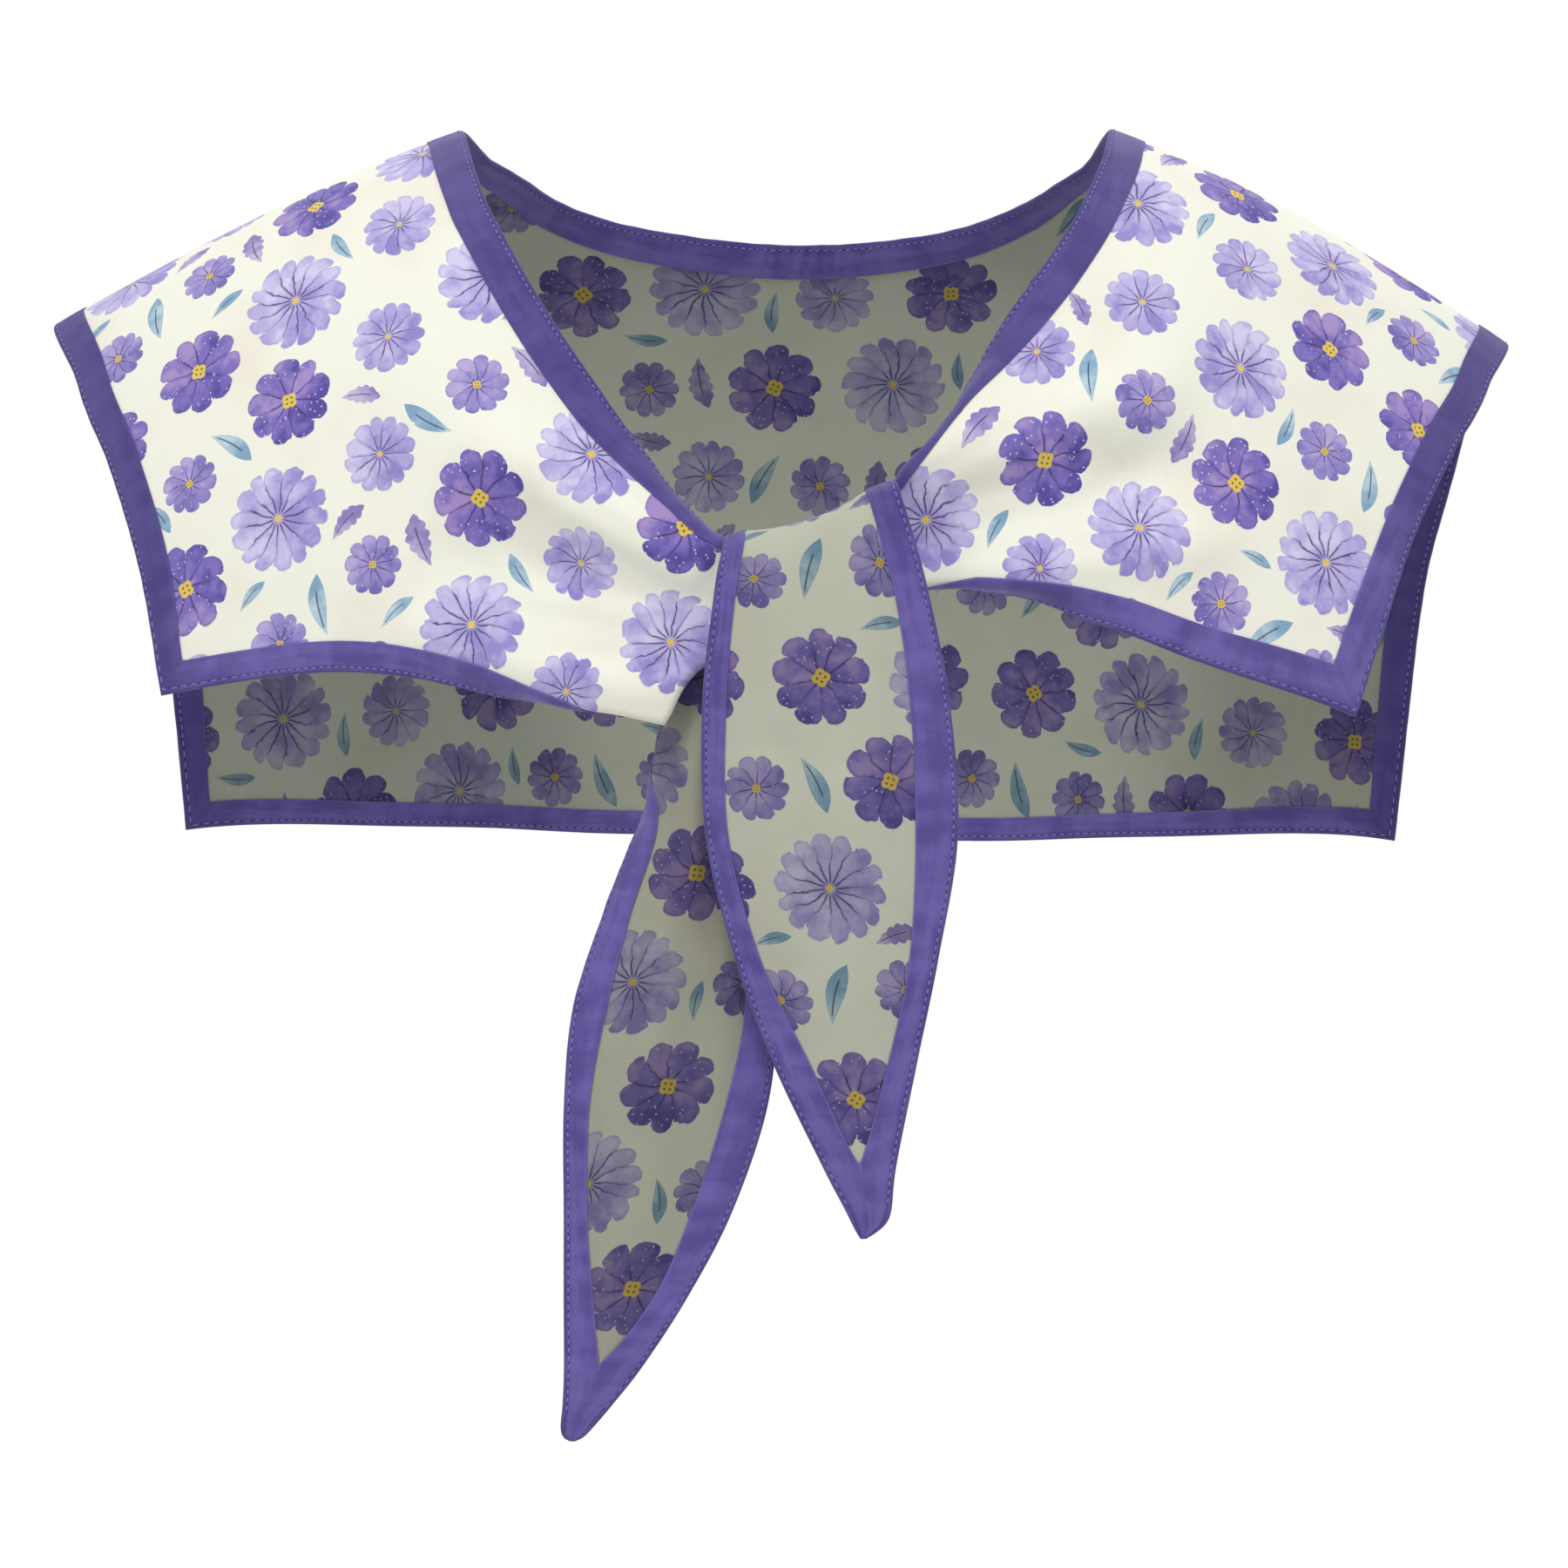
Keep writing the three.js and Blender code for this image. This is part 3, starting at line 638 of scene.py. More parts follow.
def tape_outline(width):
    """The U of a folded tape: how far out and how high each point lies, for each row."""
    level = 0 * width
    shrink = np.minimum(width / FULL_WIDTH, 1)
    fold = (TAPE_HALF_THICKNESS - TAPE_CAVITY) / 2
    half = [(fold * (1 - np.sin(a)) * shrink, TAPE_CAVITY + fold * (1 - np.cos(a)) + level)
            for a in np.radians(INNER_FOLD)]
    half += [(out * shrink, TAPE_HALF_THICKNESS + lift + level) for out, lift in TAPE_TOP]
    half += [(share * (width - BOTH_MARGINS * shrink) + INNER_MARGIN * shrink,
              TAPE_HALF_THICKNESS + lift + level) for share, lift in TAPE_MIDDLE]
    half += [(width - (STITCH_INSET + inset) * shrink, TAPE_HALF_THICKNESS + lift + level)
             for inset, lift in TAPE_GROOVE]
    half += [(width - TAPE_HALF_THICKNESS * shrink * (1 - np.cos(a)),
              TAPE_HALF_THICKNESS * np.sin(a) + level) for a in np.radians(OUTER_FOLD)]
    inner = [(width - CAVITY_TIP * shrink, TAPE_CAVITY * CAVITY_TIP_HEIGHT + level),
             (width - CAVITY_FULL * shrink, TAPE_CAVITY + level),
             (INNER_MARGIN * shrink, TAPE_CAVITY + level)]
    whole = (half + [(out, -lift) for out, lift in half[::-1]]
             + [(out, -lift) for out, lift in inner[::-1]] + inner)
    return np.stack([p[0] for p in whole], -1), np.stack([p[1] for p in whole], -1)


def tape_rings(edge, flip):
    """The rings of a tape, and its UV maps: along it and round it, and to its two folds."""
    width = edge["width"] - edge["start"]
    out, lift = tape_outline(width)
    rings = place_on_edge(edge, out + edge["start"][:, None], lift)
    around = np.concatenate([[0], np.cumsum(np.hypot(np.diff(out[0]), np.diff(lift[0])))])
    maps = {"print": np.stack(np.broadcast_arrays(edge["travel"][:, None], around[None, :]), -1),
            "folds": np.stack([width[:, None] - out, out], -1)}
    if flip:
        return rings[:, ::-1], {key: places[:, ::-1] for key, places in maps.items()}
    return rings, maps


print("tape", 2 * TAPE_HALF_THICKNESS, "mm thick")

# %% [markdown]
# A stitch is a short thread that rises from the tape, lies on it and dips in again. The same row
# shows on both faces, because a machine's two threads lock inside the cloth.

# %% Stitches
STITCH_PERIOD = 2.6
STITCH_SIDES = 6
STITCH = [
    # along the stitch, height above the tape, radius of the thread
    (0.0, -0.5, 0.12), (0.2, -0.12, 0.24), (0.85, 0.04, 0.28), (1.5, -0.12, 0.24), (1.7, -0.5, 0.12),
]
TWISTS = 3


def stitches_on(edge, skipped):
    """The threads of one edge, without the first and last few stitches, and their UV map."""
    count = int(edge["travel"][-1] / STITCH_PERIOD) - 2 * skipped
    starts = STITCH_PERIOD * (skipped + np.arange(count))
    along, height, thick = np.array(STITCH).T
    rows = edge_at(edge, starts[:, None] + along[None, :])
    angles = np.arange(STITCH_SIDES) / STITCH_SIDES * tau
    shrink = np.minimum((rows["width"] - rows["start"]) / FULL_WIDTH, 1)
    out = (rows["width"] - STITCH_INSET * shrink)[..., None] + thick[:, None] * np.cos(angles)
    faces = []
    for side in (1, -1):
        lift = side * (TAPE_HALF_THICKNESS + height[:, None]) + thick[:, None] * np.sin(angles)
        faces.append(place_on_edge(rows, out, np.broadcast_to(lift, out.shape)))
    twist = np.stack(np.broadcast_arrays(rows["travel"][..., None] * TWISTS, angles), -1)
    return np.concatenate(faces), np.concatenate([twist, twist])


print("a stitch every", STITCH_PERIOD, "mm")

# %% [markdown]
# ## The cloth of the collar
#
# The grid gets a row about every 3 mm along the hem. A few more columns at each edge carry the
# cloth on into the fold of the binding, along the same bend as the tape.

# %% Collar cloth
TUCK_DEPTH = 1.5
TUCK_COLUMNS = 5
CLOTH_ROW_LENGTH = 2.9
CLOTH_COLUMNS = 67
FINE_STEPS = 60


def tucks(edge, flat_seam, flat_away):
    """The columns of cloth beyond one seam: points, normals and places on the flat cloth."""
    share = np.arange(1, TUCK_COLUMNS + 1) / TUCK_COLUMNS
    out = (edge["start"] + TUCK_DEPTH)[:, None] * share
    even = dict(edge, ripple=np.zeros(len(out)), pucker=np.zeros(len(out)))
    points = place_on_edge(even, out, np.zeros_like(out))
    tilt = edge_tilt(edge, out)[..., None]
    turned = unit(edge["normal"][:, None] * np.cos(tilt) + edge["outward"][:, None] * np.sin(tilt))
    return points, turned, flat_seam[:, None] + flat_away[:, None] * out[..., None]


def with_tucks(before, grid, after):
    """Puts the columns of both edges round a grid, for points, normals and flat places."""
    return [np.concatenate([first[:, ::-1], own, last], 1)
            for first, own, last in zip(before, grid, after)]


def fitting_places(spacing):
    """Places along the collar so that neither edge has a longer step."""
    fine = np.linspace(0, LAST_SECTION, LAST_SECTION * FINE_STEPS + 1)
    longest = np.zeros(LAST_SECTION)
    for share in (0, 1):
        points = collar_point(fine, np.full_like(fine, float(share)))
        steps = np.linalg.norm(np.diff(points, axis=0), axis=1)
        longest = np.maximum(longest, steps.reshape(LAST_SECTION, FINE_STEPS).sum(1))
    counts = np.maximum(np.ceil(longest / spacing).astype(int), 3)
    parts = [i + np.arange(n) / n for i, n in enumerate(counts)]
    return np.concatenate(parts + [[LAST_SECTION]])


def collar_edge_rows(at, share, sign):
    """Seam points and normals at one edge, and the outward direction before and after each."""
    share = np.full_like(at, float(share))
    seam, normal = collar_point(at, share), collar_normal(at, share)
    behind = seam - collar_point(np.maximum(at - SMALL_STEP, 0), share)
    ahead = collar_point(np.minimum(at + SMALL_STEP, LAST_SECTION), share) - seam
    behind[at < SMALL_STEP] = ahead[at < SMALL_STEP]
    ahead[at > LAST_SECTION - SMALL_STEP] = behind[at > LAST_SECTION - SMALL_STEP]
    before = unit(np.cross(behind, normal)) * -sign
    after = unit(np.cross(ahead, normal)) * -sign
    return seam, normal, before, after


def mitred(before, after):
    """The direction between two outward directions, longer at a corner."""
    middle = unit(before + after)
    return middle / np.sum(middle * before, -1, keepdims=True)


def collar_tucks(band, share, sign, flat_seam, flat_inner):
    """The cloth beyond the neckline or the hem."""
    seam, normal, before, after = collar_edge_rows(cloth_at, share, sign)
    edge = make_edge(seam, normal, mitred(before, after),
                     smooth(sections[band + "_band"], cloth_at),
                     smooth(sections[band + "_roll"], cloth_at), turns_under=share)
    return tucks(edge, flat_seam, unit(flat_seam - flat_inner))


cloth_at = fitting_places(CLOTH_ROW_LENGTH)
cloth_share = np.linspace(0, 1, CLOTH_COLUMNS)
grid = (collar_point(cloth_at[:, None], cloth_share[None, :]),
        collar_normal(cloth_at[:, None], cloth_share[None, :]),
        on_pattern(cloth_at[:, None], cloth_share[None, :]))
at_neck = collar_tucks("neck", 0, -1, grid[2][:, 0], grid[2][:, 1])
at_hem = collar_tucks("hem", 1, 1, grid[2][:, -1], grid[2][:, -2])
middle, normals, flat_places = with_tucks(at_neck, grid, at_hem)
collar_cloth = make_sheet("printed_collar", middle, normals, flat_places)
collar_flat_area = grid_area(flat_places) * MM**2
print("collar cloth:", round(collar_flat_area, 4), "square metres")

# %% [markdown]
# ## The bindings of the neckline and the hem
#
# Each starts and ends inside the knot, where the wrapped end covers it. In the middle of the back
# the neckline is eased in, and the tape puckers there. The rows lie at even distances, and one of
# them is at each corner, for the mitre.

# %% Collar bindings
ROW_SPACING = 0.75
MITRE_REACH = 2.2
HIDDEN_END = 0.55
BACK_MIDDLE = 16.1
PUCKER_LENGTH = 0.38
PUCKER_HEIGHT = 1.1
FINE_PLACES = 6001


def even_places(fine, travel, stops, spacing):
    """Places with even steps of travel between the stops, which are kept exactly."""
    marks = np.interp(stops, fine, travel)
    parts = [np.linspace(a, b, max(round((b - a) / spacing), 1), endpoint=False)
             for a, b in zip(marks[:-1], marks[1:])]
    at = np.interp(np.concatenate(parts + [marks[-1:]]), travel, fine)
    at[np.cumsum([0] + [len(part) for part in parts])] = stops
    return at


def collar_edge(share, sign, band, seed):
    """The edge at the neckline or the hem. Its rows lean towards the mitre at each corner."""
    hem_corners = np.flatnonzero(corners) if share else np.array([], int)
    fine = np.linspace(HIDDEN_END, LAST_SECTION - HIDDEN_END, FINE_PLACES)
    points = collar_point(fine, np.full_like(fine, float(share)))
    stops = [fine[0], *hem_corners, fine[-1]]
    at = even_places(fine, travelled(points), stops, ROW_SPACING)
    seam, normal, before, after = collar_edge_rows(at, share, sign)
    width = smooth(sections[band + "_band"], at)
    travel = travelled(seam)
    lean = np.zeros(len(at))
    for corner in hem_corners:
        k = int(np.argmin(np.abs(at - corner)))
        half_angle = np.arccos(np.clip(np.dot(before[k], after[k]), -1, 1)) / 2
        bend = np.sign(np.dot(np.cross(before[k], after[k]), normal[k]))
        distance = (travel - travel[k]) / (MITRE_REACH * width[k])
        share_left = np.maximum(0, 1 - np.abs(distance))
        towards = np.where(distance <= 0, 1, -1)
        lean += np.tan(half_angle) * bend * share_left * towards
    eased = np.exp(-(((at - BACK_MIDDLE) / PUCKER_LENGTH) ** 2))
    pucker = PUCKER_HEIGHT * eased * (1 - share)
    return make_edge(seam, normal, before, width, smooth(sections[band + "_roll"], at),
                     lean, seed, pucker, turns_under=share)


bindings = {}
stitchings = {}
for band, share, sign, seed in (("neck", 0, -1, 0.7), ("hem", 1, 1, 2.9)):
    edge = collar_edge(share, sign, band, seed)
    rings, maps = tape_rings(edge, sign > 0)
    bindings[band] = make_tube(band + "_tape", rings[None], maps)
    rings, twist = stitches_on(edge, skipped=1)
    stitchings[band] = make_tube(band + "_stitching", rings, {"print": twist})
    print(band, "binding:", round(edge["travel"][-1]), "mm long")

# %% [markdown]
# ## The two ties
#
# A tie is a strip with its own sections, from the knot down to its point. The front tie comes out
# of the knot, goes round behind it, over its top and down in front. The back tie leaves the knot
# to the side and hangs behind the other. Where the two seams of a tie meet, the print ends in a
# point, and the two tapes run on side by side to the tip.

# %% Tie tables
TIE_COLUMNS = ("left_x", "left_z", "right_x", "right_z", "depth",
               "left_band", "right_band", "left_roll", "right_roll", "bulge")
FRONT_TIE = [
    # left x and z, right x and z, depth, band widths, rolls in degrees, bulge
    (4.3, -163, 4.3, -145, 107.8, 6, 6, 0, 0, 0),
    (5, -173, 20, -160, 106, 5, 6, 0, 0, 0),
    (1, -179.5, 19, -178, 98, 5, 6, 0, 0, 0),
    (-4, -166, 20, -162, 89.3, 6, 7, 0, 0, 0),
    (-10, -148, 21, -140, 88.8, 7, 8, 0, 0, 0),
    (-12.5, -134.2, 22, -122.8, 94.5, 7.4, 9, 0, 0, -2),
    (-13.3, -131.2, 22.6, -119.4, 104, 7.6, 9.8, 0, 0, -2.6),
    (-14, -136, 24.5, -125.5, 112.5, 7.2, 9.8, 0, 0, 0),
    (-16.5, -150, 31, -150, 115.5, 6.6, 10.4, 0, 0, 3),
    (-19.3, -183, 35.7, -183, 115, 7.3, 12, 0, 0, 5),
    (-18.7, -222, 37.3, -222, 113.5, 7, 12.8, 0, 0, 5),
    (-9.1, -259, 35.5, -259, 112, 7.8, 8.8, 0, 0, 4),
    (5.5, -290, 29.2, -290, 110, 11.2, 8.8, 0, 0, 2),
    (20.6, -321, 20.6, -321, 108, 11.5, 11.2, 0, 0, 0),
    (22.7, -334.5, 22.7, -334.5, 107, 6.6, 7.6, 0, 0, 0),
    (23.3, -338.9, 23.3, -338.9, 106.5, 5.0, 5.3, 0, 0, 0),
    (22.6, -341.6, 22.6, -341.6, 106.5, 2.9, 3.0, 0, 0, 0),
    (21.8, -343.4, 21.8, -343.4, 106.5, 0.9, 0.9, 0, 0, 0),
]
BACK_TIE = [
    (23.7, -131, 23.7, -150, 98, 5, 5, 0, 0, 0),
    (2, -137, 8, -157, 98, 5, 5, 0, 0, 0),
    (-19, -148, -7, -166, 98, 6, 5, 40, 0, 0),
    (-32, -165, -16, -176, 97.5, 8, 6, 150, 0, 0),
    (-37.8, -189, -20, -190, 96.5, 10, 7, 160, 0, 0),
    (-40, -206, -20, -206, 96, 11, 8, 112, 0, 1),
    (-40.8, -223, -18, -223, 96, 11, 9, 62, 0, 2),
    (-48.3, -246.4, -15, -246.4, 96, 10, 9.5, 36, 0, 3),
    (-55.5, -274.5, -13.9, -274.5, 96, 10.6, 10, 12, 0, 4),
    (-60.7, -304.7, -20, -304.7, 96.5, 7.9, 12.9, 0, 0, 4.5),
    (-61.3, -336.5, -30.2, -336.5, 97, 7.3, 12.3, 0, 0, 3.5),
    (-59.6, -362, -41.7, -362, 97.5, 9, 10.4, 0, 0, 1.5),
    (-57.7, -382, -57.7, -382, 98, 10.8, 13.4, 0, 0, 0),
    (-61.9, -393.5, -61.9, -393.5, 98, 7.0, 8.6, 0, 0, 0),
    (-64.6, -400.8, -64.6, -400.8, 98, 4.9, 5.1, 0, 0, 0),
    (-65.6, -403.9, -65.6, -403.9, 98, 3.0, 3.0, 0, 0, 0),
    (-65.9, -405.0, -65.9, -405.0, 98, 0.9, 0.9, 0, 0, 0),
]
TIES = {"front": (FRONT_TIE, 13), "back": (BACK_TIE, 12)}    # with the row where the print ends
print("sections of the ties:", len(FRONT_TIE), "and", len(BACK_TIE))

# %% [markdown]
# Past the point of the print both seams lie on one line, and only the bands go on to the tip.

# %% Tie rows
FINE_TIE_PLACES = 3001
SIDEWAYS = np.array([1.0, 0, 0])


def tie_rows(rows, point_row, at):
    """The columns of a tie's table at places between its sections."""
    table = read_table(TIE_COLUMNS, rows)
    table["left_edge"] = table["left_x"] - table["left_band"]
    table["right_edge"] = table["right_x"] + table["right_band"]
    breaks = np.arange(len(rows)) == point_row
    made = {key: smooth(values, at, breaks if key in ("left_x", "right_x") else None)
            for key, values in table.items()}
    made["left_band"] = made["left_x"] - made["left_edge"]
    made["right_band"] = made["right_edge"] - made["right_x"]
    past = at >= point_row
    joined = (made["left_x"] + made["right_x"]) / 2
    made["left_x"] = np.where(past, joined, made["left_x"])
    made["right_x"] = np.where(past, joined, made["right_x"])
    made["past"] = past
    return made


def tie_frame(rows, point_row, at):
    """Both seams of a tie, the direction across it and its normal."""
    made = tie_rows(rows, point_row, at)
    left = np.stack([made["left_x"], -made["depth"], made["left_z"]], -1)
    right = np.stack([made["right_x"], -made["depth"], made["right_z"]], -1)
    apart = right - left
    wide = (np.linalg.norm(apart, axis=-1) > 1) & ~made["past"]
    crossing = np.where(wide[:, None], unit(apart), SIDEWAYS)
    normal = unit(np.cross(np.gradient((left + right) / 2, axis=0), crossing))
    return made, left, right, crossing, normal


def tie_places(rows, point_row, spacing, end):
    """Places along a tie at even distances, with the point of the print among them."""
    fine = np.linspace(0, len(rows) - 1, FINE_TIE_PLACES)
    _, left, right, _, _ = tie_frame(rows, point_row, fine)
    steps = [np.linalg.norm(np.diff(seam, axis=0), axis=1) for seam in (left, right)]
    travel = np.concatenate([[0], np.cumsum(np.maximum(*steps))])
    return even_places(fine, travel, sorted({0, point_row, end}), spacing)


print("the prints end at", [rows[point_row][1] for rows, point_row in TIES.values()], "mm")

# %% [markdown]
# The creases of a tie run along it. They start at the knot, where the strip is gathered, and
# fade out on the way down. The strip bows outwards between its two tapes, which are stiffer. Laid
# flat it is straight, so its place on the print is known without any unrolling.

# %% Tie cloths
TIE_CREASES = {
    "front": [
        (FRONT, -6, -132, -2, -196, 4.5, 1.9),
        (FRONT, 10, -128, 14, -206, 5, -1.8),
        (FRONT, 20, -124, 27, -214, 4, 1.4),
        (FRONT, -10, -196, 0, -262, 7, 2.2),
        (FRONT, 18, -200, 16, -300, 9, 2.0),
    ],
    "back": [
        (FRONT, -26, -176, -30, -250, 3.6, 1.7),
        (FRONT, -24, -196, -22, -262, 4, -1.7),
        (FRONT, -34, -226, -46, -312, 6, 2.1),
        (FRONT, -26, -262, -34, -352, 7, -1.7),
    ],
}
TIE_COLUMN_COUNT = 29
TIE_ROW_LENGTH = 2.2
NARROWEST_TAPE = 0.8
TIE_UNEVENNESS, TIE_WAVES, TIE_SEED = 0.3, (1.6, 1.3), 2.0
TIE_FLAT_START = {"front": (310, 40), "back": (420, 75)}


def tie_surface(name, made, left, right, crossing, normal):
    """The middle of a tie's cloth, bowed and creased, and its normals."""
    share = np.linspace(0, 1, TIE_COLUMN_COUNT)[None, :, None]
    surface = left[:, None] * (1 - share) + right[:, None] * share
    x, z = surface[..., 0], surface[..., 2]
    bow = 1 - (2 * share[..., 0] - 1) ** 2
    rise = made["bulge"][:, None] * bow
    rise += fold_height(x, z, FRONT, TIE_CREASES[name]) * np.sqrt(bow)
    rise += TIE_UNEVENNESS * unevenness(x * TIE_WAVES[0], z * TIE_WAVES[1], TIE_SEED) * bow
    surface = surface + normal[:, None] * rise[..., None]
    return surface, unit(np.cross(np.gradient(surface, axis=0), crossing[:, None]))


def tie_on_flat(name, travel, half_width):
    """Where the cloth of a tie lies on the flat print."""
    start_x, start_y = TIE_FLAT_START[name]
    offsets = np.linspace(-1, 1, TIE_COLUMN_COUNT)[None, :] * half_width[:, None]
    down = np.broadcast_to(travel[:, None], offsets.shape)
    return np.stack([start_x + offsets, start_y - down], -1)


tie_cloths = {}
tie_lengths = {}
for name, (rows, point_row) in TIES.items():
    at = tie_places(rows, point_row, TIE_ROW_LENGTH, point_row)
    made, left, right, crossing, normal = tie_frame(rows, point_row, at)
    surface, normals = tie_surface(name, made, left, right, crossing, normal)
    travel = travelled((left + right) / 2)
    flat = tie_on_flat(name, travel, np.linalg.norm(right - left, axis=1) / 2)
    sides = []
    for side, seam, sign, column in (("left", left, -1, 0), ("right", right, 1, -1)):
        width = np.maximum(made[side + "_band"], NARROWEST_TAPE)
        edge = make_edge(seam, normal, crossing * sign, width, made[side + "_roll"])
        away = np.broadcast_to(np.array([float(sign), 0.0]), (len(at), 2))
        sides.append(tucks(edge, flat[:, column], away))
    surface, normals, flat = with_tucks(sides[0], (surface, normals, flat), sides[1])
    tie_cloths[name] = make_sheet(f"printed_{name}_tie", surface, normals, flat)
    grid_area(flat) * MM**2
    tie_lengths[name] = (float(np.ptp(flat[..., 0])), travel[-1])
    print(name, "tie: widest", round(tie_lengths[name][0]), "long", round(travel[-1]), "mm")

# %% [markdown]
# The tapes of a tie use the same U as the collar's. Their widths are measured straight across the
# tie, because that is how the two meet at the tip. Below the point of the print each tape reaches
# a little over the middle, so that the join is closed.

# %% Tie bindings
JOIN_OVERLAP = 0.6
JOIN_LENGTH = 3
for name, (rows, point_row) in TIES.items():
    at = tie_places(rows, point_row, ROW_SPACING, len(rows) - 1)
    made, left, right, crossing, normal = tie_frame(rows, point_row, at)
    travel = travelled((left + right) / 2)
    below = travel - np.interp(point_row, at, travel)
    overlap = JOIN_OVERLAP * np.clip(below / JOIN_LENGTH, 0, 1)
    parts = []
    threads = []
    for side, seam, sign, seed in (("left", left, -1, 0.4), ("right", right, 1, 1.9)):
        seam = seam - crossing * (sign * overlap)[:, None]
        width = np.maximum(made[side + "_band"], NARROWEST_TAPE) + overlap
        edge = make_edge(seam, normal, crossing * sign, width, made[side + "_roll"],
                         seed=seed + point_row)
        parts.append(tape_rings(edge, sign > 0))
        threads.append(stitches_on(edge, skipped=3))
    rings = np.stack([part[0] for part in parts])
    maps = {key: np.stack([part[1][key] for part in parts]) for key in parts[0][1]}
    bindings[name + "_tie"] = make_tube(name + "_tie_tape", rings, maps)
    rings = np.concatenate([thread[0] for thread in threads])
    twist = np.concatenate([thread[1] for thread in threads])
    stitchings[name + "_tie"] = make_tube(name + "_tie_stitching", rings, {"print": twist})

# %% [markdown]
# ## Writing shaders as sums
#
# A material is a small program of nodes. Drawn by hand it is a web of wires, and written with one
# line per link it is hardly readable. Here a wire is an object that can be added and multiplied
# like a number, and each sign adds one Math node behind the scenes.

# %% Shader wires
class Wire:
    """An output of a node that can be used in sums."""

    def __init__(self, finish, socket):
        self.finish = finish
        self.socket = socket

    def __add__(self, other):
        return self.finish.math("ADD", self, other)

    def __sub__(self, other):
        return self.finish.math("SUBTRACT", self, other)

    def __rsub__(self, other):
        return self.finish.math("SUBTRACT", other, self)

    def __mul__(self, other):
        return self.finish.math("MULTIPLY", self, other)

    def __truediv__(self, other):
        return self.finish.math("DIVIDE", self, other)

    def __rtruediv__(self, other):
        return self.finish.math("DIVIDE", other, self)

    __radd__ = __add__
    __rmul__ = __mul__


print("a wire knows + - * and /")

# %% [markdown]
# A finish is a material with one method that makes any node: its settings first, then the values
# or wires of its sockets. The others below it are short names for the nodes that are used often.

# %% Finishes
SHEEN_ROUGHNESS = 0.5
COTTON_SPECULAR = 0.2


class Finish:
    """A material whose nodes all come from one method."""

    def __init__(self, name):
        self.material = bpy.data.materials.new(name)
        self.material.use_nodes = True
        self.tree = self.material.node_tree
        self.tree.nodes.clear()

    def node(self, kind, settings=None, values=None, output=0):
        made = self.tree.nodes.new(kind)
        for key, value in (settings or {}).items():
            setattr(made, key, value)
        for key, value in (values or {}).items():
            if isinstance(value, Wire):
                self.tree.links.new(value.socket, made.inputs[key])
            else:
                made.inputs[key].default_value = value
        return Wire(self, made.outputs[output]) if made.outputs else None

    def math(self, operation, *values):
        return self.node("ShaderNodeMath", {"operation": operation}, dict(enumerate(values)))

    def vector(self, operation, *values):
        return self.node("ShaderNodeVectorMath", {"operation": operation}, dict(enumerate(values)))

    def scaled(self, vector, scale):
        return self.node("ShaderNodeVectorMath", {"operation": "SCALE"}, {0: vector, 3: scale})

    def mix(self, factor, first, second, blend="MIX"):
        settings = {"data_type": "RGBA", "blend_type": blend}
        return self.node("ShaderNodeMix", settings, {0: factor, 6: first, 7: second}, 2)

    def length(self, vector):
        return self.node("ShaderNodeVectorMath", {"operation": "LENGTH"}, {0: vector}, 1)

    def attribute(self, key):
        return self.node("ShaderNodeAttribute", {"attribute_name": key}, output=1)

    def map_place(self, key):
        return self.node("ShaderNodeUVMap", {"uv_map": key})

    def fade(self, value, start, end):
        """0 up to start, 1 from end, and a smooth step between them, in either direction."""
        return self.node("ShaderNodeMapRange", {"interpolation_type": "SMOOTHSTEP"},
                         {"Value": value, "From Min": start, "From Max": end})

    def split(self, vector):
        made = self.node("ShaderNodeSeparateXYZ", None, {0: vector}).socket.node
        return [Wire(self, output) for output in made.outputs]

    def join(self, *parts):
        return self.node("ShaderNodeCombineXYZ", None, dict(enumerate(parts)))

    def noise(self, place, scale, detail=2.0, roughness=0.5):
        values = {"Vector": place, "Scale": scale, "Detail": detail, "Roughness": roughness}
        return self.node("ShaderNodeTexNoise", None, values)

    def cloth_place(self):
        """Where a point lies on the flat cloth, in millimetres."""
        return self.scaled(self.map_place("print"), PRINT_UNIT)

    def surface(self, colour, roughness, height, bump_distance, sheen):
        """A matt cotton surface, rough by a height, with a soft sheen."""
        bump = self.node("ShaderNodeBump", None,
                         {"Strength": 1.0, "Distance": bump_distance, "Height": height})
        shader = self.node("ShaderNodeBsdfPrincipled", None,
                           {"Base Color": colour, "Roughness": roughness, "Normal": bump,
                            "Sheen Weight": sheen, "Sheen Roughness": SHEEN_ROUGHNESS,
                            "Specular IOR Level": COTTON_SPECULAR})
        self.node("ShaderNodeOutputMaterial", None, {"Surface": shader})
        return self.material


def tint(red, green, blue):
    """A colour as seen on a screen, from 0 to 255, in the numbers that shaders use."""
    parts = [part / 255 for part in (red, green, blue)]
    return tuple(p / 12.92 if p < 0.04045 else ((p + 0.055) / 1.055) ** 2.4 for p in parts) + (1.0,)


print("a middle grey in a shader:", round(tint(128, 128, 128)[0], 3))

# %% [markdown]
# ## The print
#
# The cotton has a scattered print in violet, lavender and pale blue on cream, as if painted with
# watercolour. It is a repeat: one tile with a chart of motifs, laid side by side.
#
# A shader could look for the nearest motif itself, but it would do so for every ray. A face of the
# cloth is smaller than the gaps in the print, so each face gets the one motif that reaches into it:
# its place within that motif goes into a second UV map, and the motif's form into attributes.

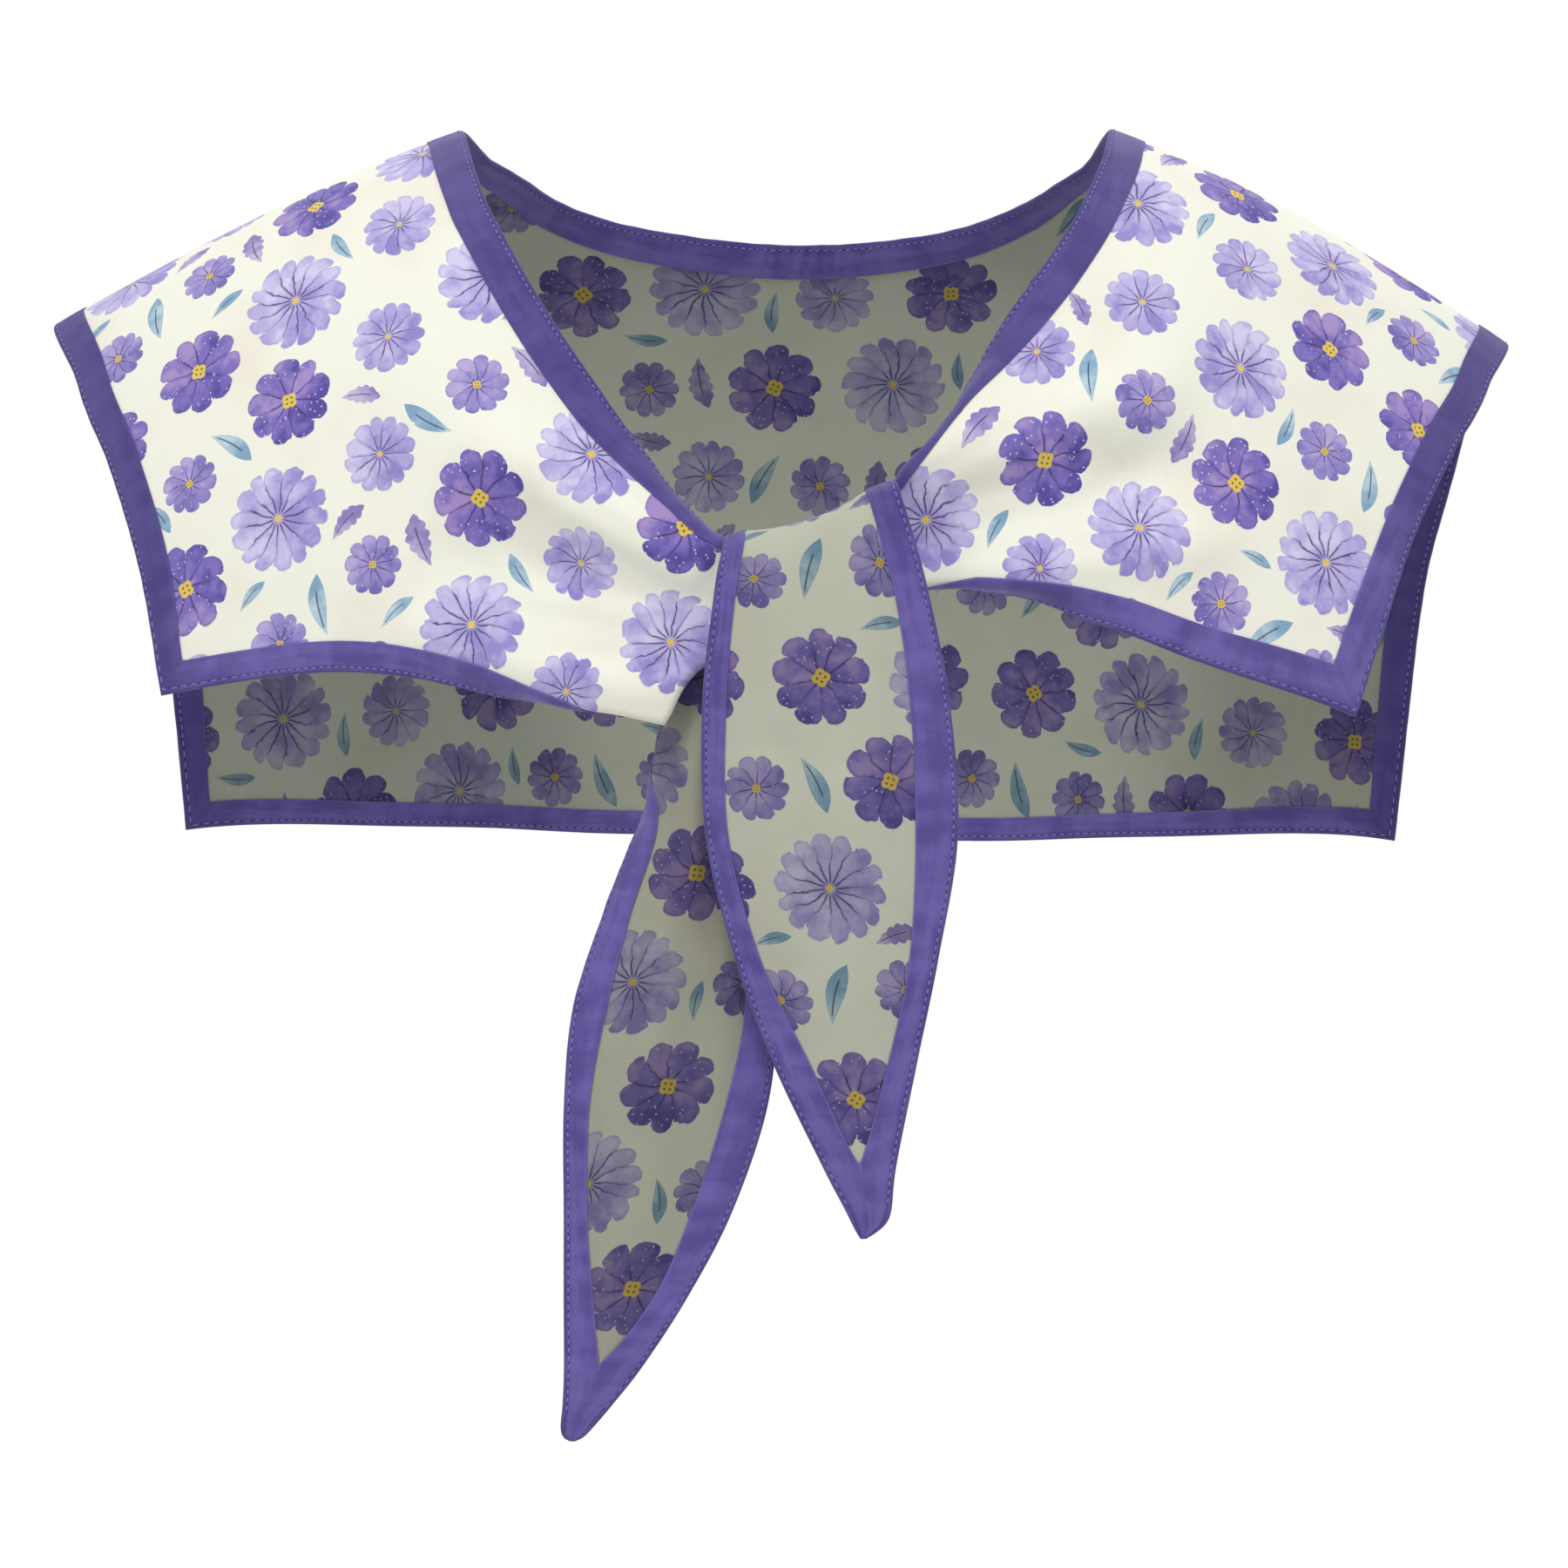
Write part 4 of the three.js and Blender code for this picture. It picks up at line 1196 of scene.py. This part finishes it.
# %% Chart of motifs
TILE = np.array([148.0, 127.0])
MOTIF_KINDS = {
    # petals or lobes, depth of their cuts or width of a leaf, size of the eye, tone, is a flower
    "deep": (9, 0.3, 0.2, 1.0, 1),
    "pale": (14, 0.26, 0.085, 0.0, 1),
    "middle": (12, 0.24, 0.09, 0.12, 1),
    "small": (10, 0.26, 0.15, 0.62, 1),
    "leaf": (0, 0.4, 0, 0, 0),
    "sprig": (8.5, 0.44, 0, 1, 0),
}
MOTIFS = [
    # kind, x, y, radius in millimetres, turn in degrees
    ("deep", 15, 16, 15, 10), ("pale", 52, 15, 17, 20),
    ("middle", 91, 18, 12, 0), ("deep", 126, 15, 14.5, 40),
    ("small", 34, 49, 9.5, 15), ("deep", 73, 49, 15, 70),
    ("pale", 110, 47, 16.5, 50), ("small", 144, 46, 10, 5),
    ("pale", 15, 80, 17, 85), ("middle", 52, 78, 12, 60),
    ("small", 88, 81, 10, 30), ("deep", 126, 80, 15, 130),
    ("deep", 35, 112, 14.5, 25), ("middle", 71, 110, 12, 75),
    ("pale", 107, 112, 16.5, 35), ("small", 143, 110, 10, 45),
    ("leaf", 14, 48, 10, 70), ("leaf", 12, 111, 9.5, -65),
    ("leaf", 73, 23, 7.5, 95), ("leaf", 130.5, 41, 6.5, 85),
    ("leaf", 33.5, 31.5, 7, 10), ("leaf", 144, 64, 6.2, 15),
    ("leaf", 128.5, 107, 7.5, -80), ("leaf", 70.5, 79, 9.5, 120),
    ("sprig", 51, 47, 8.8, 80), ("sprig", 104.5, 80, 8.4, -75),
    ("sprig", 55, 97.5, 6.8, -35), ("sprig", 33.5, 65, 7.2, 15),
]


def within_motif(places, middles, motif):
    """Places in a motif's own frame, where its radius is 1. The middles choose the repeat."""
    _, x, y, radius, turn = motif
    centre = np.array([x, y])
    repeat = np.round((middles - centre) / TILE) * TILE
    off = (places - centre - repeat[:, None]) / radius
    cosine, sine = np.cos(radians(turn)), np.sin(radians(turn))
    return np.stack([off[..., 0] * cosine + off[..., 1] * sine,
                     off[..., 1] * cosine - off[..., 0] * sine], -1)


def outside_motif(own, motif):
    """How far points lie outside a motif, in millimetres. Leaves count as slim ellipses."""
    _, width, _, _, is_flower = MOTIF_KINDS[motif[0]]
    slim = 1 if is_flower else width
    reach = np.hypot(own[..., 0], own[..., 1] / slim) - 1
    return reach * motif[3] * slim


def lay_motifs(piece):
    """Writes the map and the attributes that the print is drawn from, face by face."""
    mesh = piece.data
    flat = np.empty(len(mesh.loops) * 2)
    mesh.uv_layers["print"].data.foreach_get("uv", flat)
    places = flat.reshape(-1, 4, 2) * PRINT_UNIT
    middles = places.mean(1)
    points = np.concatenate([places, middles[:, None]], 1)
    least = np.full(len(places), np.inf)
    own = np.zeros_like(places)
    forms = np.zeros((2, len(places), 3))
    for number, motif in enumerate(MOTIFS):
        inside = within_motif(points, middles, motif)
        outside = outside_motif(inside, motif).min(1)
        nearer = outside < least
        least = np.where(nearer, outside, least)
        own[nearer] = inside[nearer, :4]
        petals, cut, eye, tone, is_flower = MOTIF_KINDS[motif[0]]
        forms[0, nearer] = (petals, cut, eye)
        forms[1, nearer] = (tone, is_flower, number)
    layer = mesh.uv_layers.new(name="motif")
    layer.data.foreach_set("uv", own.astype("f").ravel())
    for key, values in zip(("motif_form", "motif_tone"), forms):
        attribute = mesh.attributes.new(key, "FLOAT_VECTOR", "FACE")
        attribute.data.foreach_set("vector", values.astype("f").ravel())
    print(f"{piece.name}: {(least < 0).mean():.0%} of its faces are printed")


for piece in (collar_cloth, *tie_cloths.values()):
    lay_motifs(piece)

# %% [markdown]
# A flower is drawn in polar form. The angle counted in petals gives each petal its number, its own
# tone and the gap to the next. The outline is a row of half circles round the flower. Paint that
# dries at the rim of a petal leaves it a little darker there, and fine dark lines run outwards
# between the petals. All lengths in a flower are shares of its radius.

# %% Flowers
PALE_TONES = (tint(217, 212, 243), tint(192, 184, 230), tint(156, 145, 211))
DEEP_TONES = (tint(172, 148, 206), tint(131, 115, 193), tint(92, 78, 163))
VEIN = tint(70, 50, 84)
EYE_YELLOW = tint(232, 202, 92)
EYE_SPECK = tint(92, 62, 52)
PETAL_SWAY, PETAL_WOBBLE = 0.035, 0.09
PETAL_ROUNDNESS = 0.98
PAINT_EDGE = 0.035
OWN_TONE, WASH_TONE, LOW_TONE, RIGHT_TONE, TONE_START = 0.26, 2.0, 0.3, 0.1, -0.72
RIM_DEPTH, FOLD_DEPTH, VEIN_DEPTH, SPECK_DEPTH = 0.42, 0.5, 0.85, 0.8


def flower(finish, way, form, tone, seed, wash):
    """Colour and cover of a flower, from its number of petals, its cuts and its eye."""
    petals, cut, eye = form
    x, y, _ = finish.split(way)
    distance = finish.length(way)
    around = finish.math("ARCTAN2", y, x) / tau + 0.5
    sway = finish.math("SINE", seed * 2.4) * PETAL_SWAY
    wobble = (wash - 0.5) * PETAL_WOBBLE
    counted = (around + distance * distance * sway + wobble + 1) * petals
    petal = finish.math("FLOOR", counted)
    off_middle = finish.math("ABSOLUTE", counted - petal - 0.5) * 2
    bulge = finish.math("SQRT", 1 - off_middle * off_middle * PETAL_ROUNDNESS)
    edge = bulge * cut - cut + 1
    inside = edge - distance
    cover = finish.fade(inside, 0.0, PAINT_EDGE)
    number = finish.join(finish.math("MODULO", petal, petals), seed, petals)
    own_tone = finish.node("ShaderNodeTexWhiteNoise", {"noise_dimensions": "3D"}, {"Vector": number})
    shade = own_tone * OWN_TONE + wash * WASH_TONE - y * LOW_TONE - x * RIGHT_TONE + TONE_START
    light, middle, dark = (finish.mix(tone, pale, deep) for pale, deep in zip(PALE_TONES, DEEP_TONES))
    colour = finish.mix(finish.fade(shade, 0.05, 0.45), light, middle)
    colour = finish.mix(finish.fade(shade, 0.4, 0.85), colour, dark)
    gap = (1 - off_middle) * distance * pi / petals
    rim = 1 - finish.fade(inside, 0.02, 0.1)
    fold = 1 - finish.fade(gap, 0.0, 0.055)
    colour = finish.mix(finish.math("MAXIMUM", rim * RIM_DEPTH, fold * FOLD_DEPTH), colour, dark)
    reach = finish.fade(distance - own_tone * 0.55, 0.3, 0.16) * finish.fade(distance, 0.08, 0.14)
    vein = (1 - finish.fade(gap, 0.006, 0.021)) * reach
    colour = finish.mix(vein * VEIN_DEPTH, colour, VEIN)
    return paint_eye(finish, colour, distance, around, eye), cover


def paint_eye(finish, colour, distance, around, eye):
    """The yellow eye of a flower, with a ring of dark specks where it is large."""
    lobes = finish.math("ABSOLUTE", finish.math("COSINE", around * tau * 2))
    cover = finish.fade(eye * (0.74 + lobes * 0.26) - distance, 0.0, 0.02)
    colour = finish.mix(cover, colour, EYE_YELLOW)
    ring = finish.math("ABSOLUTE", distance - eye * 0.4)
    specks = (1 - finish.fade(ring, 0.012, 0.034)) * finish.fade(lobes, 0.7, 0.86)
    return finish.mix(specks * finish.fade(eye, 0.1, 0.14) * SPECK_DEPTH, colour, EYE_SPECK)


print("tones of a flower:", len(PALE_TONES), "pale,", len(DEEP_TONES), "deep")

# %% [markdown]
# A leaf lies along x. Its outline swells and tapers, and a sprig is a leaf with a scalloped
# outline, in lavender.

# %% Leaves
LEAF_TONES = (tint(196, 218, 230), tint(134, 172, 200))
SPRIG_TONES = (tint(204, 190, 226), tint(146, 130, 194))
LEAF_VEIN = tint(58, 66, 92)
LEAF_BEND = 0.14
SCALLOP_DEPTH = 0.26
LEAF_SWELL = 0.4
LEAF_RIM_DEPTH, LEAF_VEIN_DEPTH = 0.35, 0.8


def leaf(finish, way, form, tone, wash):
    """Colour and cover of a leaf or a sprig, from its number of lobes and its width."""
    lobes, width, _ = form
    x, y, _ = finish.split(way)
    taper = 1 - x * x
    bent = finish.math("ABSOLUTE", y - taper * LEAF_BEND)
    lobe = finish.math("ABSOLUTE", finish.math("SINE", x * lobes))
    scallops = lobe * SCALLOP_DEPTH + (1 - SCALLOP_DEPTH)
    swell = finish.math("MAXIMUM", 1 + x * LEAF_SWELL, 0.0)
    inside = taper * width * swell * scallops - bent
    cover = finish.fade(inside, 0.0, 0.03)
    light, dark = (finish.mix(tone, blue, violet) for blue, violet in zip(LEAF_TONES, SPRIG_TONES))
    colour = finish.mix(finish.fade(wash + x * 0.2, 0.3, 0.66), light, dark)
    colour = finish.mix((1 - finish.fade(inside, 0.02, 0.08)) * LEAF_RIM_DEPTH, colour, dark)
    along = finish.fade(finish.math("ABSOLUTE", x + 0.12), 0.66, 0.5)
    vein = (1 - finish.fade(bent, 0.012, 0.04)) * along
    return finish.mix(vein * LEAF_VEIN_DEPTH, colour, LEAF_VEIN), cover


print("a sprig is as wide as", MOTIF_KINDS["sprig"][1], "of its half length")

# %% [markdown]
# The ground is a cream cotton, slightly uneven in tone. Its weave is a fine grid of threads with a
# few thick ones. The side that is worn inside shows the print duller, as the back of a printed
# cloth does, and painted shade darkens it much further. Both ties turn that side out, and the front
# one is a little less dull; the back tie is darker than the front one by a painted shadow.

# %% Printed cotton
CREAM = tint(247, 247, 233)
WARM_CREAM = tint(243, 238, 224)
BLACK = (0.0, 0.0, 0.0, 1.0)
SPLASH = tint(226, 220, 244)
SPLASH_DEPTH = 0.75
SPLASHES_PER_MM = 0.36
THREAD_PITCH = 0.5
THREAD_DEPTH = 0.09
WASH_SIZE = 9
COTTON_BUMP, COTTON_SHEEN = 0.00012, 0.15


def printed_cotton(name, dull_and_shade):
    """The printed cloth. Its last argument darkens it: the side worn inside is duller, and painted
    shade darkens it further.
    """
    finish = Finish(name)
    place = finish.cloth_place()
    way = finish.map_place("motif")
    form = finish.split(finish.attribute("motif_form"))
    tone, is_flower, seed = finish.split(finish.attribute("motif_tone"))
    wash = finish.noise(place, 1 / WASH_SIZE, 3.0, 0.6)
    flower_colour, flower_cover = flower(finish, way, form, tone, seed, wash)
    leaf_colour, leaf_cover = leaf(finish, way, form, tone, wash)
    splashes = finish.node("ShaderNodeTexVoronoi", {"voronoi_dimensions": "2D"},
                           {"Vector": place, "Scale": SPLASHES_PER_MM})
    splash = finish.fade(splashes, 0.14, 0.07) * finish.fade(wash, 0.48, 0.56) * tone
    flower_colour = finish.mix(splash * SPLASH_DEPTH, flower_colour, SPLASH)
    motif = finish.mix(is_flower, leaf_colour, flower_colour)
    cover = flower_cover * is_flower + leaf_cover * (1 - is_flower)
    ground = finish.mix(finish.fade(finish.noise(place, 0.02, 3.0), 0.45, 0.7), CREAM, WARM_CREAM)
    colour = finish.mix(cover, ground, motif)
    x, y, _ = finish.split(place)
    pitch = tau / THREAD_PITCH
    weave = finish.math("SINE", x * pitch) * finish.math("SINE", y * pitch)
    slubs = finish.noise(finish.vector("MULTIPLY", place, (0.4, 2.6, 1)), 1.0, 2.0)
    colour = finish.mix((weave * 0.5 + slubs) * THREAD_DEPTH, colour, BLACK, "SOFT_LIGHT")
    # A duller inner side, with painted shade multiplied in.
    colour = finish.mix(1.0, colour, dull_and_shade, "MULTIPLY")
    height = weave * 0.35 + slubs * 0.5 + finish.noise(place, 0.09, 2.0) * 2.2
    return finish.surface(colour, 0.8 + slubs * 0.12, height, COTTON_BUMP, COTTON_SHEEN)


print("a thread every", THREAD_PITCH, "mm, the wash changes over", WASH_SIZE, "mm")

# %% [markdown]
# ## The violet tape and its thread
#
# The tape is a plain dyed cotton, with faint streaks along its length from the folding and
# pressing. Painted shade darkens its outer fold, and a painted highlight lightens its inner fold.
# Painted shade also darkens it along both arms and at the front of the neckline, and in the groove
# under the stitches, with dark dots of painted shade at the needle holes between two stitches. The
# thread is the same dye, one shade lighter, with a twist.

# %% Tape and thread
TAPE_TONES = (tint(80, 67, 141), tint(107, 95, 169))
# The darker tape colour is painted shade; the lighter one serves both the random fibres and a painted
# highlight.
TAPE_SHADE = tint(50, 40, 108)
TAPE_FIBRE_AND_HIGHLIGHT = tint(126, 114, 188)
TAPE_THREAD_PITCH = 0.62
TAPE_BUMP, TAPE_SHEEN = 0.00012, 0.25
# How strongly shade is painted on the outer fold and a highlight on the inner fold, and how far the
# random fibres lighten it.
OUTER_FOLD_SHADE, INNER_FOLD_HIGHLIGHT, FIBRE_DEPTH = 0.7, 0.5, 0.2
# Painted shade in the stitch groove and at the needle holes.
GROOVE_SHADE, HOLE_SHADE, HOLE_AT = 0.2, 0.4, 0.83
# Painted shade along the arms and at the front of the neckline.
BAND_SHADE_DEPTH, BAND_SHADE_FRONT = 0.58, 0.8
THREAD_TONES = (tint(98, 86, 162), tint(150, 138, 206))
THREAD_BUMP, THREAD_SHEEN = 0.00008, 0.2


def painted_band_shade(finish):
    """Where shade is painted on the tape: 1 along both arms and a little less at the front of the
    neckline, from object coordinates.
    """
    x, y, z = finish.split(finish.node("ShaderNodeTexCoord", output=3))
    sideways = finish.math("ABSOLUTE", x)
    arms = finish.fade(sideways, 0.176, 0.196)
    front = finish.fade(y, 0.0, -0.03) * finish.fade(z, -0.14, -0.12)
    return arms + front * finish.fade(sideways, 0.15, 0.13) * BAND_SHADE_FRONT


def violet_cotton(name):
    """The plain dyed cotton of the tape, with painted shade at its outer fold, its groove and its
    needle holes, and a painted highlight at its inner fold.
    """
    finish = Finish(name)
    place = finish.cloth_place()
    streaks = finish.noise(finish.vector("MULTIPLY", place, (0.035, 0.5, 1)), 1.0, 3.0, 0.6)
    blotches = finish.noise(place, 0.11, 3.0, 0.55)
    tone = finish.fade(streaks * 0.5 + blotches * 0.5, 0.38, 0.62)
    colour = finish.mix(tone, *TAPE_TONES)
    x, y, _ = finish.split(place)
    folds = finish.scaled(finish.map_place("folds"), PRINT_UNIT)
    to_outer, to_inner, _ = finish.split(folds)
    # Painted shade on the outer fold.
    outer = 1 - finish.fade(to_outer, 0.25, 1.0)
    # Painted highlight on the inner fold.
    inner = 1 - finish.fade(to_inner, 0.15, 0.6)
    colour = finish.mix(outer * OUTER_FOLD_SHADE, colour, TAPE_SHADE)
    colour = finish.mix(inner * INNER_FOLD_HIGHLIGHT, colour, TAPE_FIBRE_AND_HIGHLIGHT)
    # Painted shade in the groove under the stitches, and dark dots of painted shade at the needle
    # holes.
    seam = 1 - finish.fade(finish.math("ABSOLUTE", to_outer - STITCH_INSET), 0.15, 0.6)
    phase = finish.math("FRACT", x / STITCH_PERIOD)
    hole_shade = finish.fade(finish.math("ABSOLUTE", phase - HOLE_AT), 0.19, 0.1)
    colour = finish.mix(seam * (hole_shade * HOLE_SHADE + GROOVE_SHADE), colour, TAPE_SHADE)
    pitch = tau / TAPE_THREAD_PITCH
    weave = finish.math("SINE", (x + y) * pitch) * finish.math("SINE", (x - y) * pitch)
    fibres = finish.noise(place, 2.4, 2.0, 0.7)
    colour = finish.mix(fibres * FIBRE_DEPTH, colour, TAPE_FIBRE_AND_HIGHLIGHT)
    # Painted shade along both arms and at the front of the neckline.
    colour = finish.mix(painted_band_shade(finish) * BAND_SHADE_DEPTH, colour, TAPE_SHADE)
    height = weave * 0.4 + fibres * 0.6 + blotches * 1.6
    return finish.surface(colour, 0.72 + fibres * 0.16, height, TAPE_BUMP, TAPE_SHEEN)


def violet_thread(name):
    """The sewing thread, a little lighter than the tape."""
    finish = Finish(name)
    twist = finish.noise(finish.cloth_place(), 1.4, 1.0)
    colour = finish.mix(twist, *THREAD_TONES)
    return finish.surface(colour, 0.55 + twist * 0.2, twist, THREAD_BUMP, THREAD_SHEEN)


print("bump of the tape:", TAPE_BUMP / MM, "mm, of its thread:", THREAD_BUMP / MM, "mm")

# %% [markdown]
# Each sheet has two finishes, one for each face. The collar shows its right side outside. The ties
# show their inner side in front and the right side behind.

# %% Finishes on the pieces
OUTSIDE = (1.0, 1.0, 1.0, 1.0)
# The inner side is duller and darkened further by painted shade; the back tie's lower factor is a
# painted shadow.
INSIDE_DULL_AND_SHADE = (0.42, 0.445, 0.4, 1.0)
TIES_DULL_AND_SHADE = {"front": (0.54, 0.555, 0.515, 1.0), "back": (0.385, 0.395, 0.355, 1.0)}
outside_print = printed_cotton("printed cotton, right side", OUTSIDE)
inside_print = printed_cotton("printed cotton, inside, with painted shade", INSIDE_DULL_AND_SHADE)
tape_finish = violet_cotton("violet cotton tape")
thread_finish = violet_thread("violet thread")

collar_cloth.data.materials.append(outside_print)
collar_cloth.data.materials.append(inside_print)
for name, piece in tie_cloths.items():
    turned_out = printed_cotton(f"printed cotton, inside of the {name} tie", TIES_DULL_AND_SHADE[name])
    piece.data.materials.append(turned_out)
    piece.data.materials.append(outside_print)
for piece in bindings.values():
    piece.data.materials.append(tape_finish)
for piece in stitchings.values():
    piece.data.materials.append(thread_finish)
print("nodes in the print:", len(outside_print.node_tree.nodes))

# %% [markdown]
# ## Studio
#
# A round sweep of white paper surrounds the collar, so that it looks the same from all sides: a flat
# floor whose rim rises in a wide curve. Paper lit brightly enough to look pure white would throw
# light back from everywhere and wash out the folds. So the sweep glows by itself and is hidden from
# the light that bounces, and the sky fills the shadows instead. A soft key light stands high at the
# left, and weaker ones at both sides and behind.

# %% Sweep and lights
FLOOR_HEIGHT = -1.15
SWEEP_FLAT, SWEEP_RADIUS, SWEEP_WALL = 4.0, 2.0, 4.0
SWEEP_BENDS, SWEEP_SIDES = 17, 96
LIGHTS = [
    # name, place, aim, width, watts
    ("key", (-0.6, -2.7, 3.1), (0, 0, -0.15), 1.0, 69),
    ("left fill", (-2.4, -1.2, 0.6), (0, 0, -0.15), 1.6, 2),
    ("right fill", (2.4, -1.2, 0.6), (0, 0, -0.15), 1.6, 4),
    ("rear", (0.3, 2.2, 1.8), (0, 0, -0.1), 1.6, 21),
]
SKY_STRENGTH = 0.68


def make_sweep():
    """The floor and its rising rim, turned round the collar."""
    bend = [(SWEEP_FLAT + SWEEP_RADIUS * np.sin(a), FLOOR_HEIGHT + SWEEP_RADIUS * (1 - np.cos(a)))
            for a in np.linspace(0, pi / 2, SWEEP_BENDS)]
    profile = [(0.001, FLOOR_HEIGHT)] + bend + [(SWEEP_FLAT + SWEEP_RADIUS, SWEEP_WALL)]
    turns = np.arange(SWEEP_SIDES) / SWEEP_SIDES * tau
    vertices = [(r * np.cos(a), r * np.sin(a), z) for r, z in profile for a in turns]
    faces = []
    for ring in range(0, (len(profile) - 1) * SWEEP_SIDES, SWEEP_SIDES):
        for k in range(SWEEP_SIDES):
            here, there = ring + k, ring + (k + 1) % SWEEP_SIDES
            faces.append((here, there, there + SWEEP_SIDES, here + SWEEP_SIDES))
    mesh = bpy.data.meshes.new("sweep")
    mesh.from_pydata(vertices, [], faces)
    mesh.polygons.foreach_set("use_smooth", [True] * len(faces))
    made = bpy.data.objects.new("sweep", mesh)
    bpy.context.scene.collection.objects.link(made)
    return made


paper = Finish("pale paper")
glow = paper.node("ShaderNodeEmission", None, {"Color": (1, 1, 1, 1), "Strength": 1.0})
paper.node("ShaderNodeOutputMaterial", None, {"Surface": glow})
sweep = make_sweep()
sweep.data.materials.append(paper.material)
sweep.visible_diffuse = False


def add_light(name, place, aim, size, power):
    """A round area light that looks at a point."""
    light = bpy.data.lights.new(name, "AREA")
    light.shape = "DISK"
    light.size = size
    light.energy = power
    made = bpy.data.objects.new(name, light)
    made.location = place
    made.rotation_euler = (Vector(aim) - Vector(place)).to_track_quat("-Z", "Y").to_euler()
    bpy.context.scene.collection.objects.link(made)


for row in LIGHTS:
    add_light(*row)

world = bpy.data.worlds.new("sky")
bpy.context.scene.world = world
world.use_nodes = True
sky = world.node_tree.nodes["Background"]
sky.inputs["Color"].default_value = (1, 1, 1, 1)
sky.inputs["Strength"].default_value = SKY_STRENGTH
bpy.context.scene.view_settings.view_transform = "Standard"
print("sweep floor", -FLOOR_HEIGHT, "m below the shoulder line")

# %% [markdown]
# ## Setting each piece in place of its solid
#
# Each piece rides on the one body of this part and takes the place of its plain solid, which is
# hidden.

# %% Pieces
def fit(piece, slot, *nodes):
    """Sets a piece on the body and hides the solid that it replaces. The slot is not used."""
    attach(piece, "root")
    if nodes:
        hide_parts(*nodes)


fit(collar_cloth, "printed_cloth", "collar_cloth")
fit(bindings["neck"], "violet_band", "neck_binding")
fit(bindings["hem"], "violet_band", "hem_binding")
for name in TIES:
    fit(tie_cloths[name], "printed_cloth", name + "_tie_cloth")
    fit(bindings[name + "_tie"], "violet_band", name + "_tie_binding")
for piece in stitchings.values():
    fit(piece, "violet_band")

for name in TIES:
    width, length = tie_lengths[name]
